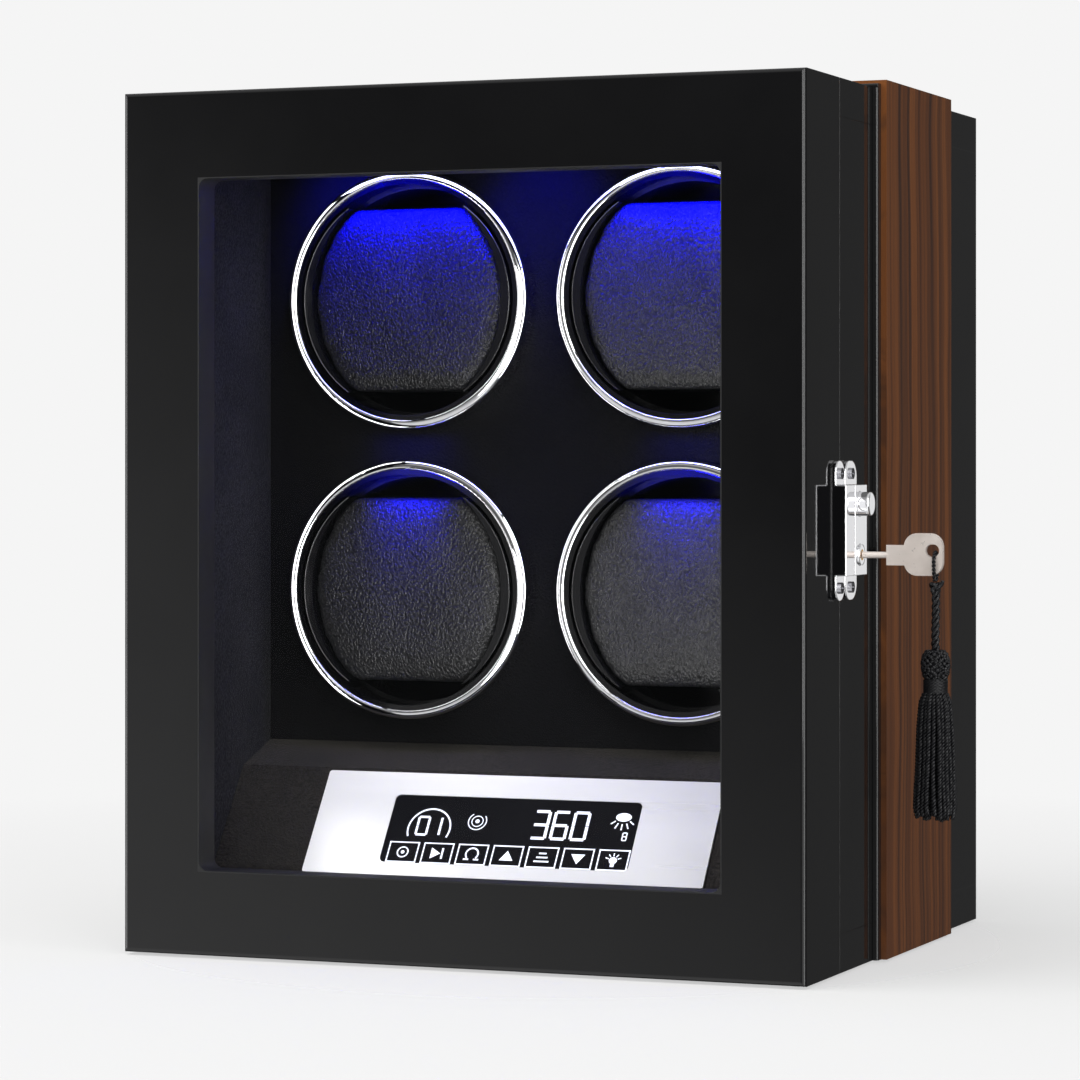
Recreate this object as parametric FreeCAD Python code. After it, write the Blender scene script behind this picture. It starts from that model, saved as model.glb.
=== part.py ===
import FreeCAD
import Part
import math
import os

# Four-place watch winder cabinet with a hinged glass door, in millimetres.
# +Z is up and the door faces -Y. The origin is the middle of the base, on the table.
# Depths in the names below are measured from the door's front face towards the back.

# ---- carcass ----
WIDTH = 250.0
HEIGHT = 300.0
DEPTH = 207.0
PAD = 1.0
WALL = 13.0
EDGE_ROUND = 1.5
SEAM = 37.0
SEAM_GAP = 0.6
TOP = PAD + HEIGHT
INNER_X = WIDTH / 2 - WALL
INNER_LOW = PAD + WALL
INNER_HIGH = TOP - WALL
DOOR_BACK = SEAM - SEAM_GAP / 2
CABINET_FRONT = SEAM + SEAM_GAP / 2
BACK_PANEL_DEPTHS = (200.5, 205.5)
PAD_INSET = 4.0
REBATE = 6.0

# ---- door ----
FRONT_BOARD = 12.0
WINDOW_X = 95.7
WINDOW_LOW = PAD + 29.5
WINDOW_HIGH = PAD + 269.5
WINDOW_CORNER = 3.5
GLASS_THICK = 3.0
GLASS_LAP = 8.8
RETAINER_BACK = 19.0
RETAINER_LAP = 4.8
FIT_GAP = 0.2

# ---- walnut band and its black moulding ----
BAND_FRONT = 78.0
BAND_BACK = 159.0
BAND_SIDE = 4.0
BAND_TOP = 2.75
MOULDING_FRONT = 74.5
MOULDING_PROUD = 2.0
MOULDING_TOP = 1.4
MOULDING_ROUND = 0.9

# ---- hinges ----
HINGE_HEIGHTS = (PAD + 55.0, PAD + 245.0)
HINGE_LENGTH = 40.0
KNUCKLE_X = -WIDTH / 2 - 1.5
KNUCKLE_R = 2.5
HINGE_BORE_R = 1.27
HINGE_PIN_R = 1.2
LEAF_THICK = 1.0
LEAF_END_X = -WIDTH / 2 + 11.5
KNUCKLE_GAP = 0.2
KNUCKLE_ROOM = 0.4
PIN_HEAD = 1.3

# ---- screws ----
WOOD_SCREW_R = 0.95
SCREW_HEAD_R = 1.9
COUNTERSINK = 1.0
PAN_HEAD = 0.8
CROSS_WIDE = 0.5
CROSS_REACH = 1.3
FLAT_SCREW_LENGTH = 8.0
PAN_SCREW_LENGTH = 10.0
RETAINER_SCREW_LENGTH = 11.0
BACK_SCREW_LENGTH = 12.0
HINGE_SCREW_X = -WIDTH / 2 + 6.5
HINGE_SCREW_RISE = 12.0
LOCK_SCREW_INSET = 4.3
RETAINER_SCREW_INSET = 3.6
RETAINER_SCREW_RISE = 110.0
BACK_SCREW_RISE = 125.0

# ---- rotors: numbered 1 upper left, 2 upper right, 3 lower left, 4 lower right ----
ROTOR_PITCH = 105.0
LOWER_ROTOR_Z = PAD + 125.0
PANEL_FRONT = 89.0
PANEL_THICK = 9.0
PANEL_HOLE_R = 45.0
RING_FRONT = 79.0
RING_BACK = 88.6
RING_R = 47.0
RING_ROUND = 2.4
RING_LIP = 1.0
COLLAR_R = 43.5
CUP_R = 44.0
CUP_FRONT = 80.0
CUP_MOUTH_R = 41.8
CUP_SEAT_R = 40.9
CUP_SEAT_FRONT = 93.0
CUP_BACK = 138.5
CUP_FLOOR = 2.5
CUSHION_FRONT = 79.6
CUSHION_BACK = 119.6
CUSHION_R = 40.6
CUSHION_RIM_ROUND = 0.5
CUSHION_HALF_HEIGHT = 33.3
CUSHION_WEB = 2.6
POCKET_R = 44.6
POCKET_SHIFT = 7.3
PAD_GAP = 0.3

# ---- drive behind the rotor panel ----
PLATE_FRONT = 148.0
PLATE_THICK = 8.0
ROTOR_PULLEY_R = 20.5
PULLEY_RATIO = 3.0
BELT_THICK = 1.5
BELT_HALF = BELT_THICK / 2
MOTOR_PULLEY_R = (ROTOR_PULLEY_R + BELT_HALF) / PULLEY_RATIO - BELT_HALF
PULLEY_FLANGE = 1.5
GROOVE_DEPTHS = (141.0, 144.0)
RUN_GAP = 0.05
ROTOR_SHAFT_R = 4.0
MOTOR_SHAFT_R = 2.0
MOTOR_OFFSET = 30.0
ROTOR_PULLEY_BACK = 146.0
ROTOR_SHAFT_BACK = PLATE_FRONT + PLATE_THICK + 3.0
MOTOR_PULLEY_DEPTHS = (139.5, 145.5)
GEARBOX_FRONT = PLATE_FRONT + PLATE_THICK
GEARBOX_R = 15.0
GEARBOX_LONG = 14.0
MOTOR_R = 12.0
MOTOR_LONG = 36.0
TAIL_R = 4.0
TAIL_LONG = 38.0
SHAFT_IN_GEARBOX = 7.0

# ---- lamps and power inlet ----
LED_COUNT = 14
LED_DEPTHS = (60.0, 68.0)
LED_X = 98.0
LED_BOARD = 1.2
LED_LENS = 2.8
LED_HALF = 2.5
JACK_X = 84.0
JACK_Z = PAD + 34.0
JACK_R = 5.0
JACK_LONG = 15.0
JACK_FLANGE_R = 6.5
JACK_FLANGE = 1.2
JACK_BORE_R = 2.8
JACK_BORE_LONG = 9.5
JACK_PIN_R = 1.05

# ---- control console on the cabinet floor ----
CONSOLE_LIP = (38.0, 22.3)
CONSOLE_SLOPE = 54.3
CONSOLE_KNEE_Z = 61.2
CONSOLE_TOP = (88.8, 69.0)
CONSOLE_SHELL = 3.0
PLATE_FOOT = (40.5, 25.8)
CONTROL_PLATE_X = 75.3
CONTROL_PLATE_RISE = 42.0
DISPLAY_X = 46.7
DISPLAY_LOW = 5.4
DISPLAY_HIGH = 32.8
PLATE_PROUD = 0.6
CONTROL_PLATE_THICK = 1.5
DISPLAY_THICK = 2.2
DISPLAY_SUNK = 0.1
SEAT_GAP = 0.1
LINING = 1.0

# ---- lock on the right-hand side, over the seam ----
LOCK_D = 43.5
PLATE_OUT = 1.7
CASE_OUT = 5.3
STRIKE_DEPTHS = (27.6, 37.2)
LOCK_DEPTHS = (37.8, 51.0)
LOCK_PLATE_Z = (PAD + 124.9, PAD + 171.7)
LOCK_CASE_Z = (PAD + 133.3, PAD + 163.6)
BUTTON_Z = PAD + 157.2
BUTTON_R = 4.1
BARREL_Z = PAD + 140.1
BARREL_R = 3.5
CRANK_R = 2.6
CRANK_ANGLE = 45.0
CRANK_PIN_R = 0.5
SIDE = WIDTH / 2
CASE_WALL = 1.0
BUTTON_FACE = SIDE + 9.4
BARREL_FACE = SIDE + 5.9
TONGUE_X = (SIDE + 2.3, SIDE + 3.5)
TONGUE_Z = (PAD + 146.3, PAD + 152.0)
BOLT_X = (SIDE + 2.4, SIDE + 3.4)
BOLT_DEPTHS = (LOCK_D - 3.9, LOCK_D - 2.1)
BOLT_Z = (PAD + 136.5, PAD + 145.9)

# ---- key and tassel ----
KEY_BLADE = (1.0, 2.2)
KEY_BOW_X = (145.7, 159.1)
KEY_BOW_Z = (PAD + 133.3, PAD + 147.5)
KEY_BOW_THICK = 2.0
KEY_SHAFT_R = 1.1
KEY_COLLAR = 6.1
HOLE_X = 156.4
HOLE_Z = PAD + 141.0
CORD_R = 1.4
STRAND_R = 0.7
KNOT_R = 1.9
KNOT_Z = PAD + 129.4
HEAD_TOP = PAD + 108.7
# Route points: across from the hole, back from the key's plane, and up from the box's underside.
LOOP_ROUTE = [(0, 0.9, 131.6), (0, 2.3, 133.8), (0, 2.2, 139.4), (0, 0.1, 141.7),
              (0, -2.3, 139.4), (0, -2.2, 133.8), (0, -0.9, 131.6)]
CORD_ROUTE = [(0, 0, 130.7), (0.2, -0.1, 123.0), (-0.1, 0.1, 115.2), (0, 0, 107.5), (0.1, 0, 99.9)]

FORWARD = FreeCAD.Vector(0, -1, 0)
BACKWARD = FreeCAD.Vector(0, 1, 0)
INWARD = FreeCAD.Vector(-1, 0, 0)


# ---------------------------------------------------------------- helpers

def vec(x, depth, z):
    return FreeCAD.Vector(x, depth - DEPTH / 2, z)


def box(xs, depths, zs):
    size = (xs[1] - xs[0], depths[1] - depths[0], zs[1] - zs[0])
    return Part.makeBox(*size, vec(xs[0], depths[0], zs[0]))


def rod_y(x, z, r, depths):
    return Part.makeCylinder(r, depths[1] - depths[0], vec(x, depths[0], z), FreeCAD.Vector(0, 1, 0))


def rod_x(depth, z, r, xs):
    return Part.makeCylinder(r, xs[1] - xs[0], vec(xs[0], depth, z), FreeCAD.Vector(1, 0, 0))


def rod_z(x, depth, r, zs):
    return Part.makeCylinder(r, zs[1] - zs[0], vec(x, depth, zs[0]), FreeCAD.Vector(0, 0, 1))


def joined(shapes):
    return shapes[0].multiFuse(shapes[1:]).removeSplitter()


def less(shape, cutters):
    return shape.cut(Part.makeCompound(cutters))


def along(edge, axis):
    first, last = edge.Vertexes[0].Point, edge.Vertexes[-1].Point
    return len(edge.Vertexes) == 2 and abs((last - first).normalize().dot(axis)) > 0.999


def rounded(shape, r, axis):
    """The shape with every straight edge along an axis rounded."""
    return shape.makeFillet(r, [e for e in shape.Edges if along(e, FreeCAD.Vector(*axis))])


def at_depth(shape, depth):
    """The edges that lie at one depth."""
    level = depth - DEPTH / 2
    return [e for e in shape.Edges if abs(e.BoundBox.YMin - level) + abs(e.BoundBox.YMax - level) < 1e-4]


def rims(shape, depth, r):
    """The round edges of one radius that lie at one depth."""
    curved = [e for e in at_depth(shape, depth) if hasattr(e.Curve, "Radius")]
    return [e for e in curved if abs(e.Curve.Radius - r) < 0.01]


def rotor_places():
    """Rotor number, centre X and centre Z."""
    half = ROTOR_PITCH / 2
    places = []
    for number in (1, 2, 3, 4):
        x = -half if number % 2 else half
        z = LOWER_ROTOR_Z + (ROTOR_PITCH if number < 3 else 0.0)
        places.append((number, x, z))
    return places


def motor_place(x, z):
    """Each motor sits towards the middle of the four rotors."""
    middle = LOWER_ROTOR_Z + ROTOR_PITCH / 2
    return x - math.copysign(MOTOR_OFFSET, x), z - math.copysign(MOTOR_OFFSET, z - middle)


def save(name, shape):
    os.makedirs("parts", exist_ok=True)
    if not shape.isValid():
        raise ValueError(name + " is not a valid shape")
    shape.exportStep("parts/" + name + ".step")
    box_size = shape.BoundBox
    print(f"{name:22s} {len(shape.Solids)} solids {shape.Volume / 1000:9.2f} cm3"
          f"  X {box_size.XMin:7.1f} {box_size.XMax:7.1f}  Y {box_size.YMin:7.1f} {box_size.YMax:7.1f}"
          f"  Z {box_size.ZMin:6.1f} {box_size.ZMax:6.1f}")


# ---------------------------------------------------------------- screws

def turned(shape, point, axis):
    """Moves a shape made along +Z at the origin to a point and an axis."""
    shape.Placement = FreeCAD.Placement(point, FreeCAD.Rotation(FreeCAD.Vector(0, 0, 1), axis))
    return shape


def flat_screw(point, axis, gap=0.0):
    """A countersunk wood screw whose head is flush at the point; axis is the way it drives."""
    head = Part.makeCone(SCREW_HEAD_R + gap, WOOD_SCREW_R + gap, COUNTERSINK)
    shank = Part.makeCylinder(WOOD_SCREW_R + gap, FLAT_SCREW_LENGTH + gap)
    return turned(head.fuse(shank).removeSplitter(), point, axis)


def pan_screw(point, axis, length=PAN_SCREW_LENGTH):
    """A pan-head wood screw with a crossed recess, its head standing out from the point."""
    start = FreeCAD.Vector(0, 0, -PAN_HEAD)
    head = Part.makeCylinder(SCREW_HEAD_R, PAN_HEAD, start)
    shank = Part.makeCylinder(WOOD_SCREW_R, length)
    screw = head.fuse(shank)
    half = CROSS_WIDE / 2
    for x, y in ((CROSS_REACH, half), (half, CROSS_REACH)):
        screw = screw.cut(Part.makeBox(2 * x, 2 * y, CROSS_WIDE, FreeCAD.Vector(-x, -y, -PAN_HEAD)))
    return turned(screw, point, axis)


def pilot(point, axis, length=PAN_SCREW_LENGTH):
    """The hole that a pan-head screw's shank fills."""
    return turned(Part.makeCylinder(WOOD_SCREW_R + RUN_GAP, length + FIT_GAP), point, axis)


def hinge_screw_points(depth):
    return [vec(HINGE_SCREW_X, depth, z + rise)
            for z in HINGE_HEIGHTS for rise in (-HINGE_SCREW_RISE, HINGE_SCREW_RISE)]


def lock_screw_points(depths):
    middle = (depths[0] + depths[1]) / 2
    low, high = LOCK_PLATE_Z
    return [vec(SIDE + PLATE_OUT, middle, z) for z in (low + LOCK_SCREW_INSET, high - LOCK_SCREW_INSET)]


def retainer_screw_points():
    x = INNER_X - RETAINER_SCREW_INSET
    middle = (INNER_LOW + INNER_HIGH) / 2
    points = [vec(side * x, RETAINER_BACK, middle + rise)
              for side in (-1, 1) for rise in (-RETAINER_SCREW_RISE, 0, RETAINER_SCREW_RISE)]
    ends = (INNER_LOW + RETAINER_SCREW_INSET, INNER_HIGH - RETAINER_SCREW_INSET)
    return points + [vec(0, RETAINER_BACK, z) for z in ends]


def back_screw_points():
    x = INNER_X + REBATE / 2
    middle = (INNER_LOW + INNER_HIGH) / 2
    return [vec(side * x, BACK_PANEL_DEPTHS[1], middle + rise)
            for side in (-1, 1) for rise in (-BACK_SCREW_RISE, 0, BACK_SCREW_RISE)]


# ---------------------------------------------------------------- hinges

def knuckle_spans(z):
    """The three knuckles of one hinge, from the bottom up."""
    low = z - HINGE_LENGTH / 2
    third = (HINGE_LENGTH - 2 * KNUCKLE_GAP) / 3
    return [(low + i * (third + KNUCKLE_GAP), low + i * (third + KNUCKLE_GAP) + third) for i in range(3)]


def hinge_leaf(z, depths, own):
    """A leaf let into the wood, with the knuckles whose numbers are in own."""
    clear_x = KNUCKLE_X + KNUCKLE_R + 0.7
    solid = box((clear_x, LEAF_END_X), depths, (z - HINGE_LENGTH / 2, z + HINGE_LENGTH / 2))
    spans = knuckle_spans(z)
    for i in own:
        wrap = box((KNUCKLE_X, clear_x + 0.1), depths, spans[i])
        solid = solid.fuse([wrap, rod_z(KNUCKLE_X, SEAM, KNUCKLE_R, spans[i])])
    bore = rod_z(KNUCKLE_X, SEAM, HINGE_BORE_R, (z - HINGE_LENGTH, z + HINGE_LENGTH))
    return solid.cut(bore).removeSplitter()


def leaf_set(depths, own, face, axis):
    leaves = [hinge_leaf(z, depths, own) for z in HINGE_HEIGHTS]
    holes = [flat_screw(p, axis, gap=RUN_GAP) for p in hinge_screw_points(face)]
    return less(Part.makeCompound(leaves), holes)


def hinge_reliefs():
    """Room in the wood for the knuckles and the two leaves of each hinge."""
    cutters = []
    for z in HINGE_HEIGHTS:
        span = (z - HINGE_LENGTH / 2 - FIT_GAP, z + HINGE_LENGTH / 2 + FIT_GAP)
        pin_room = (span[0] - PIN_HEAD - FIT_GAP, span[1] + PIN_HEAD + FIT_GAP)
        depths = (DOOR_BACK - LEAF_THICK, CABINET_FRONT + LEAF_THICK)
        cutters.append(rod_z(KNUCKLE_X, SEAM, KNUCKLE_R + KNUCKLE_ROOM, pin_room))
        cutters.append(box((-WIDTH / 2 - 1, LEAF_END_X + FIT_GAP), depths, span))
    return cutters


def hinge_pins():
    pins = []
    for z in HINGE_HEIGHTS:
        low, high = z - HINGE_LENGTH / 2, z + HINGE_LENGTH / 2
        pin = rod_z(KNUCKLE_X, SEAM, HINGE_PIN_R, (low - 0.3, high + 0.3))
        ends = [rod_z(KNUCKLE_X, SEAM, KNUCKLE_R - 0.6, span)
                for span in ((low - PIN_HEAD, low - KNUCKLE_GAP), (high + KNUCKLE_GAP, high + PIN_HEAD))]
        pins.append(joined([pin] + ends))
    return Part.makeCompound(pins)


# ---------------------------------------------------------------- door

def door_frame():
    body = box((-WIDTH / 2, WIDTH / 2), (0, DOOR_BACK), (PAD, TOP))
    body = body.makeFillet(EDGE_ROUND, at_depth(body, 0))
    window = box((-WINDOW_X, WINDOW_X), (-1, FRONT_BOARD + 1), (WINDOW_LOW, WINDOW_HIGH))
    tray = box((-INNER_X, INNER_X), (FRONT_BOARD, DOOR_BACK + 1), (INNER_LOW, INNER_HIGH))
    holes = [pilot(p, FORWARD, RETAINER_SCREW_LENGTH) for p in retainer_screw_points()]
    holes += [pilot(p, INWARD) for p in lock_screw_points(STRIKE_DEPTHS)]
    holes += [flat_screw(p, FORWARD, gap=RUN_GAP) for p in hinge_screw_points(DOOR_BACK)]
    return less(body, [rounded(window, WINDOW_CORNER, (0, 1, 0)), tray] + hinge_reliefs() + holes)


def glass_box(lap, depths):
    xs = (-WINDOW_X - lap, WINDOW_X + lap)
    return box(xs, depths, (WINDOW_LOW - lap, WINDOW_HIGH + lap))


def door_glass():
    return glass_box(GLASS_LAP, (FRONT_BOARD, FRONT_BOARD + GLASS_THICK))


def glass_retainer():
    edge = FIT_GAP + 0.1
    outer = box((edge - INNER_X, INNER_X - edge), (FRONT_BOARD, RETAINER_BACK),
                (INNER_LOW + edge, INNER_HIGH - edge))
    pocket = glass_box(GLASS_LAP + FIT_GAP, (FRONT_BOARD - 1, FRONT_BOARD + GLASS_THICK))
    opening = glass_box(RETAINER_LAP, (FRONT_BOARD, RETAINER_BACK + 1))
    holes = [pilot(p, FORWARD) for p in retainer_screw_points()]
    return less(outer, [pocket, opening] + holes)


def door_screws():
    screws = [pan_screw(p, FORWARD, RETAINER_SCREW_LENGTH) for p in retainer_screw_points()]
    screws += [pan_screw(p, INWARD) for p in lock_screw_points(STRIKE_DEPTHS)]
    screws += [flat_screw(p, FORWARD) for p in hinge_screw_points(DOOR_BACK)]
    return Part.makeCompound(screws)


# ---------------------------------------------------------------- carcass

def top_panel():
    return box((-WIDTH / 2, WIDTH / 2), (CABINET_FRONT, DEPTH), (INNER_HIGH, TOP)).cut(back_rebate())


def bottom_panel():
    return box((-WIDTH / 2, WIDTH / 2), (CABINET_FRONT, DEPTH), (PAD, INNER_LOW)).cut(back_rebate())


def left_panel():
    panel = box((-WIDTH / 2, -INNER_X), (CABINET_FRONT, DEPTH), (INNER_LOW, INNER_HIGH))
    holes = [flat_screw(p, BACKWARD, gap=RUN_GAP) for p in hinge_screw_points(CABINET_FRONT)]
    holes += [pilot(p, FORWARD, BACK_SCREW_LENGTH) for p in back_screw_points()]
    return less(panel, hinge_reliefs() + holes + [back_rebate()])


def right_panel():
    """Bored for the lock barrel, the button's stem and the lock screws."""
    panel = box((INNER_X, WIDTH / 2), (CABINET_FRONT, DEPTH), (INNER_LOW, INNER_HIGH))
    holes = [rod_x(LOCK_D, BARREL_Z, BARREL_R + FIT_GAP, (SIDE - 7.0, SIDE + 1)),
             rod_x(LOCK_D, BUTTON_Z, 2.0, (SIDE - 6.0, SIDE + 1))]
    holes += [pilot(p, INWARD) for p in lock_screw_points(LOCK_DEPTHS)]
    holes += [pilot(p, FORWARD, BACK_SCREW_LENGTH) for p in back_screw_points()]
    return less(panel, holes + [back_rebate()])


def back_rebate(gap=0.0):
    """The room at the back of the four walls that the back panel drops into."""
    reach = REBATE - gap
    return box((-INNER_X - reach, INNER_X + reach), (BACK_PANEL_DEPTHS[0], DEPTH + 1),
               (INNER_LOW - reach, INNER_HIGH + reach))


def back_panel():
    behind = box((-WIDTH, WIDTH), (BACK_PANEL_DEPTHS[1], 2 * DEPTH), (0, 2 * HEIGHT))
    panel = back_rebate(FIT_GAP).cut(behind)
    jack = rod_y(JACK_X, JACK_Z, JACK_R + FIT_GAP, (0, DEPTH))
    holes = [pilot(p, FORWARD, BACK_SCREW_LENGTH) for p in back_screw_points()]
    return less(panel, [jack] + holes)


def base_pad():
    xs = (PAD_INSET - WIDTH / 2, WIDTH / 2 - PAD_INSET)
    return box(xs, (CABINET_FRONT + PAD_INSET, DEPTH - PAD_INSET), (0, PAD))


def cabinet_screws():
    screws = [pan_screw(p, INWARD) for p in lock_screw_points(LOCK_DEPTHS)]
    screws += [flat_screw(p, BACKWARD) for p in hinge_screw_points(CABINET_FRONT)]
    screws += [pan_screw(p, FORWARD, BACK_SCREW_LENGTH) for p in back_screw_points()]
    return Part.makeCompound(screws)


def side_strips(depths, proud, top_proud):
    """Left, right and top boards that wrap the carcass on three sides."""
    left = box((-SIDE - proud, -SIDE), depths, (PAD, TOP))
    right = box((SIDE, SIDE + proud), depths, (PAD, TOP))
    top = box((-SIDE - proud, SIDE + proud), depths, (TOP, TOP + top_proud))
    return [left, right, top]


def walnut_band():
    return Part.makeCompound(side_strips((BAND_FRONT, BAND_BACK), BAND_SIDE, BAND_TOP))


def trim_moulding():
    """A black strip with a rounded front edge, against the front of the walnut."""
    strips = []
    for strip in side_strips((MOULDING_FRONT, BAND_FRONT), MOULDING_PROUD, MOULDING_TOP):
        front = at_depth(strip, MOULDING_FRONT)
        outer = [e for e in front if is_outer(e)]
        strips.append(strip.makeFillet(MOULDING_ROUND, outer))
    return Part.makeCompound(strips)


def is_outer(edge):
    middle = edge.BoundBox.Center
    on_side = abs(abs(middle.x) - SIDE - MOULDING_PROUD) < 0.01 and along(edge, FreeCAD.Vector(0, 0, 1))
    return on_side and middle.z < TOP or middle.z > TOP + MOULDING_TOP - 0.1


def velvet_lining():
    """A card sleeve covered in velvet, inside the four walls in front of the rotor panel."""
    depths = (CABINET_FRONT + 0.3, PANEL_FRONT)
    sleeve = box((-INNER_X, INNER_X), depths, (INNER_LOW, INNER_HIGH))
    room = box((LINING - INNER_X, INNER_X - LINING), (0, DEPTH), (INNER_LOW + LINING, INNER_HIGH - LINING))
    return sleeve.cut(room)


def rotor_panel():
    depths = (PANEL_FRONT, PANEL_FRONT + PANEL_THICK)
    panel = box((-INNER_X, INNER_X), depths, (INNER_LOW, INNER_HIGH))
    return less(panel, [rod_y(x, z, PANEL_HOLE_R, (0, DEPTH)) for _, x, z in rotor_places()])


def led_strip():
    """A narrow board of small lamps under the cabinet's ceiling."""
    top = INNER_HIGH - LINING
    parts = [box((-LED_X, LED_X), LED_DEPTHS, (top - LED_BOARD, top))]
    depths = (LED_DEPTHS[0] + 1.5, LED_DEPTHS[1] - 1.5)
    step = 2 * LED_X / LED_COUNT
    for i in range(LED_COUNT):
        x = -LED_X + (i + 0.5) * step
        parts.append(box((x - LED_HALF, x + LED_HALF), depths, (top - LED_LENS, top - LED_BOARD + 0.1)))
    return joined(parts)


def dc_jack():
    """A panel socket for a 5.5 by 2.1 mm barrel plug."""
    face = BACK_PANEL_DEPTHS[1] + JACK_FLANGE
    body = rod_y(JACK_X, JACK_Z, JACK_R, (face - JACK_LONG, face))
    flange = rod_y(JACK_X, JACK_Z, JACK_FLANGE_R, (BACK_PANEL_DEPTHS[1], face))
    bore = rod_y(JACK_X, JACK_Z, JACK_BORE_R, (face - JACK_BORE_LONG, face + 1))
    pin = rod_y(JACK_X, JACK_Z, JACK_PIN_R, (face - JACK_BORE_LONG - 1, face - 0.8))
    return joined([body, flange]).cut(bore).fuse(pin).removeSplitter()


# ---------------------------------------------------------------- console

def slope_frame(shape):
    """Puts a shape made with X across, Y up the slope and Z out of it onto the console's slope."""
    foot = vec(0, PLATE_FOOT[0], PAD + PLATE_FOOT[1])
    turn = FreeCAD.Rotation(FreeCAD.Vector(1, 0, 0), CONSOLE_SLOPE)
    shape.Placement = FreeCAD.Placement(foot, turn)
    return shape


def slab(half_x, rise, out):
    """A slab on the slope: half its width, its two edges up the slope, and its two levels."""
    size = (2 * half_x, rise[1] - rise[0], out[1] - out[0])
    return Part.makeBox(*size, FreeCAD.Vector(-half_x, rise[0], out[0]))


def console():
    """A folded shell: lip, steep control face and a flatter ledge up to the rotor panel."""
    lip_d, lip_z = CONSOLE_LIP
    knee_d = lip_d + (CONSOLE_KNEE_Z - lip_z) / math.tan(math.radians(CONSOLE_SLOPE))
    floor = INNER_LOW + LINING + 0.05
    outer = [(lip_d, floor), (lip_d, PAD + lip_z), (knee_d, PAD + CONSOLE_KNEE_Z),
             (CONSOLE_TOP[0], PAD + CONSOLE_TOP[1])]
    shift = CONSOLE_SHELL
    fold = shift * math.tan(math.radians(CONSOLE_SLOPE / 2))
    inner = [(lip_d + shift, floor - 1), (lip_d + shift, PAD + lip_z - fold),
             (knee_d + fold, PAD + CONSOLE_KNEE_Z - shift),
             (CONSOLE_TOP[0] + 1, PAD + CONSOLE_TOP[1] - shift)]
    half = INNER_X - LINING - FIT_GAP
    shell = prism(outer + [(CONSOLE_TOP[0], floor)], half)
    hollow = prism(inner + [(CONSOLE_TOP[0] + 1, floor - 1)], half + 1)
    seat = slab(CONTROL_PLATE_X + SEAT_GAP, (-SEAT_GAP, CONTROL_PLATE_RISE + SEAT_GAP),
                (PLATE_PROUD - CONTROL_PLATE_THICK, CONSOLE_SHELL))
    pocket = slab(DISPLAY_X + SEAT_GAP, (DISPLAY_LOW - SEAT_GAP, DISPLAY_HIGH + SEAT_GAP),
                  (PLATE_PROUD - DISPLAY_SUNK - DISPLAY_THICK, CONSOLE_SHELL))
    ledge = 3.0
    through = slab(DISPLAY_X - ledge, (DISPLAY_LOW + ledge, DISPLAY_HIGH - ledge),
                   (-2 * CONSOLE_SHELL, CONSOLE_SHELL))
    return less(shell, [hollow, slope_frame(seat), slope_frame(pocket), slope_frame(through)])


def prism(points, half_x):
    """Depth and height points extruded across the cabinet."""
    corners = [vec(-half_x, d, z) for d, z in points]
    face = Part.Face(Part.makePolygon(corners + corners[:1]))
    return face.extrude(FreeCAD.Vector(2 * half_x, 0, 0))


def control_plate():
    levels = (PLATE_PROUD - CONTROL_PLATE_THICK, PLATE_PROUD)
    plate = rounded(slab(CONTROL_PLATE_X, (0, CONTROL_PLATE_RISE), levels), 1.0, (0, 0, 1))
    window = slab(DISPLAY_X + SEAT_GAP, (DISPLAY_LOW - SEAT_GAP, DISPLAY_HIGH + SEAT_GAP),
                  (-CONSOLE_SHELL, CONSOLE_SHELL))
    return slope_frame(plate.cut(rounded(window, 2.0, (0, 0, 1))))


def touch_display():
    face = PLATE_PROUD - DISPLAY_SUNK
    levels = (face - DISPLAY_THICK, face)
    return slope_frame(rounded(slab(DISPLAY_X, (DISPLAY_LOW, DISPLAY_HIGH), levels), 2.0, (0, 0, 1)))


def control_board():
    """A circuit board under the display, with its processor, driver chips and plug sockets."""
    parts = [slab(DISPLAY_X + 1.5, (2.0, 36.0), (-9.0, -7.4)), slab(5.0, (12.0, 22.0), (-7.5, -6.0))]
    for x in (-30.0, -18.0, 18.0, 30.0):
        chip = Part.makeBox(6.0, 5.0, 2.0, FreeCAD.Vector(x - 3, 24.0, -10.9))
        socket = Part.makeBox(8.0, 5.0, 5.0, FreeCAD.Vector(x - 4, 6.0, -13.9))
        parts += [chip, socket]
    return slope_frame(joined(parts))


# ---------------------------------------------------------------- rotors

def chrome_ring(x, z):
    ring = rod_y(x, z, RING_R, (RING_FRONT, RING_BACK)).cut(rod_y(x, z, COLLAR_R, (0, DEPTH)))
    ring = ring.makeFillet(RING_ROUND, rims(ring, RING_FRONT, RING_R))
    return ring.makeFillet(RING_LIP, rims(ring, RING_FRONT, COLLAR_R))


def rotor_cup(x, z):
    """A moulded drum with a stepped mouth that the watch cushion slides into."""
    floor = CUP_BACK - CUP_FLOOR
    drum = joined([rod_y(x, z, CUP_R, (RING_BACK + 0.1, CUP_BACK)),
                   rod_y(x, z, COLLAR_R, (CUP_FRONT, CUP_BACK))])
    mouth = rod_y(x, z, CUP_MOUTH_R, (0, CUP_SEAT_FRONT))
    seat = rod_y(x, z, CUP_SEAT_R, (0, floor))
    return less(drum, [mouth, seat])


def grooved_pulley(x, z, r, depths):
    flange = r + PULLEY_FLANGE
    return [rod_y(x, z, flange, (depths[0], GROOVE_DEPTHS[0])),
            rod_y(x, z, r, (GROOVE_DEPTHS[0] - 0.1, GROOVE_DEPTHS[1] + 0.1)),
            rod_y(x, z, flange, (GROOVE_DEPTHS[1], depths[1]))]


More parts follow.
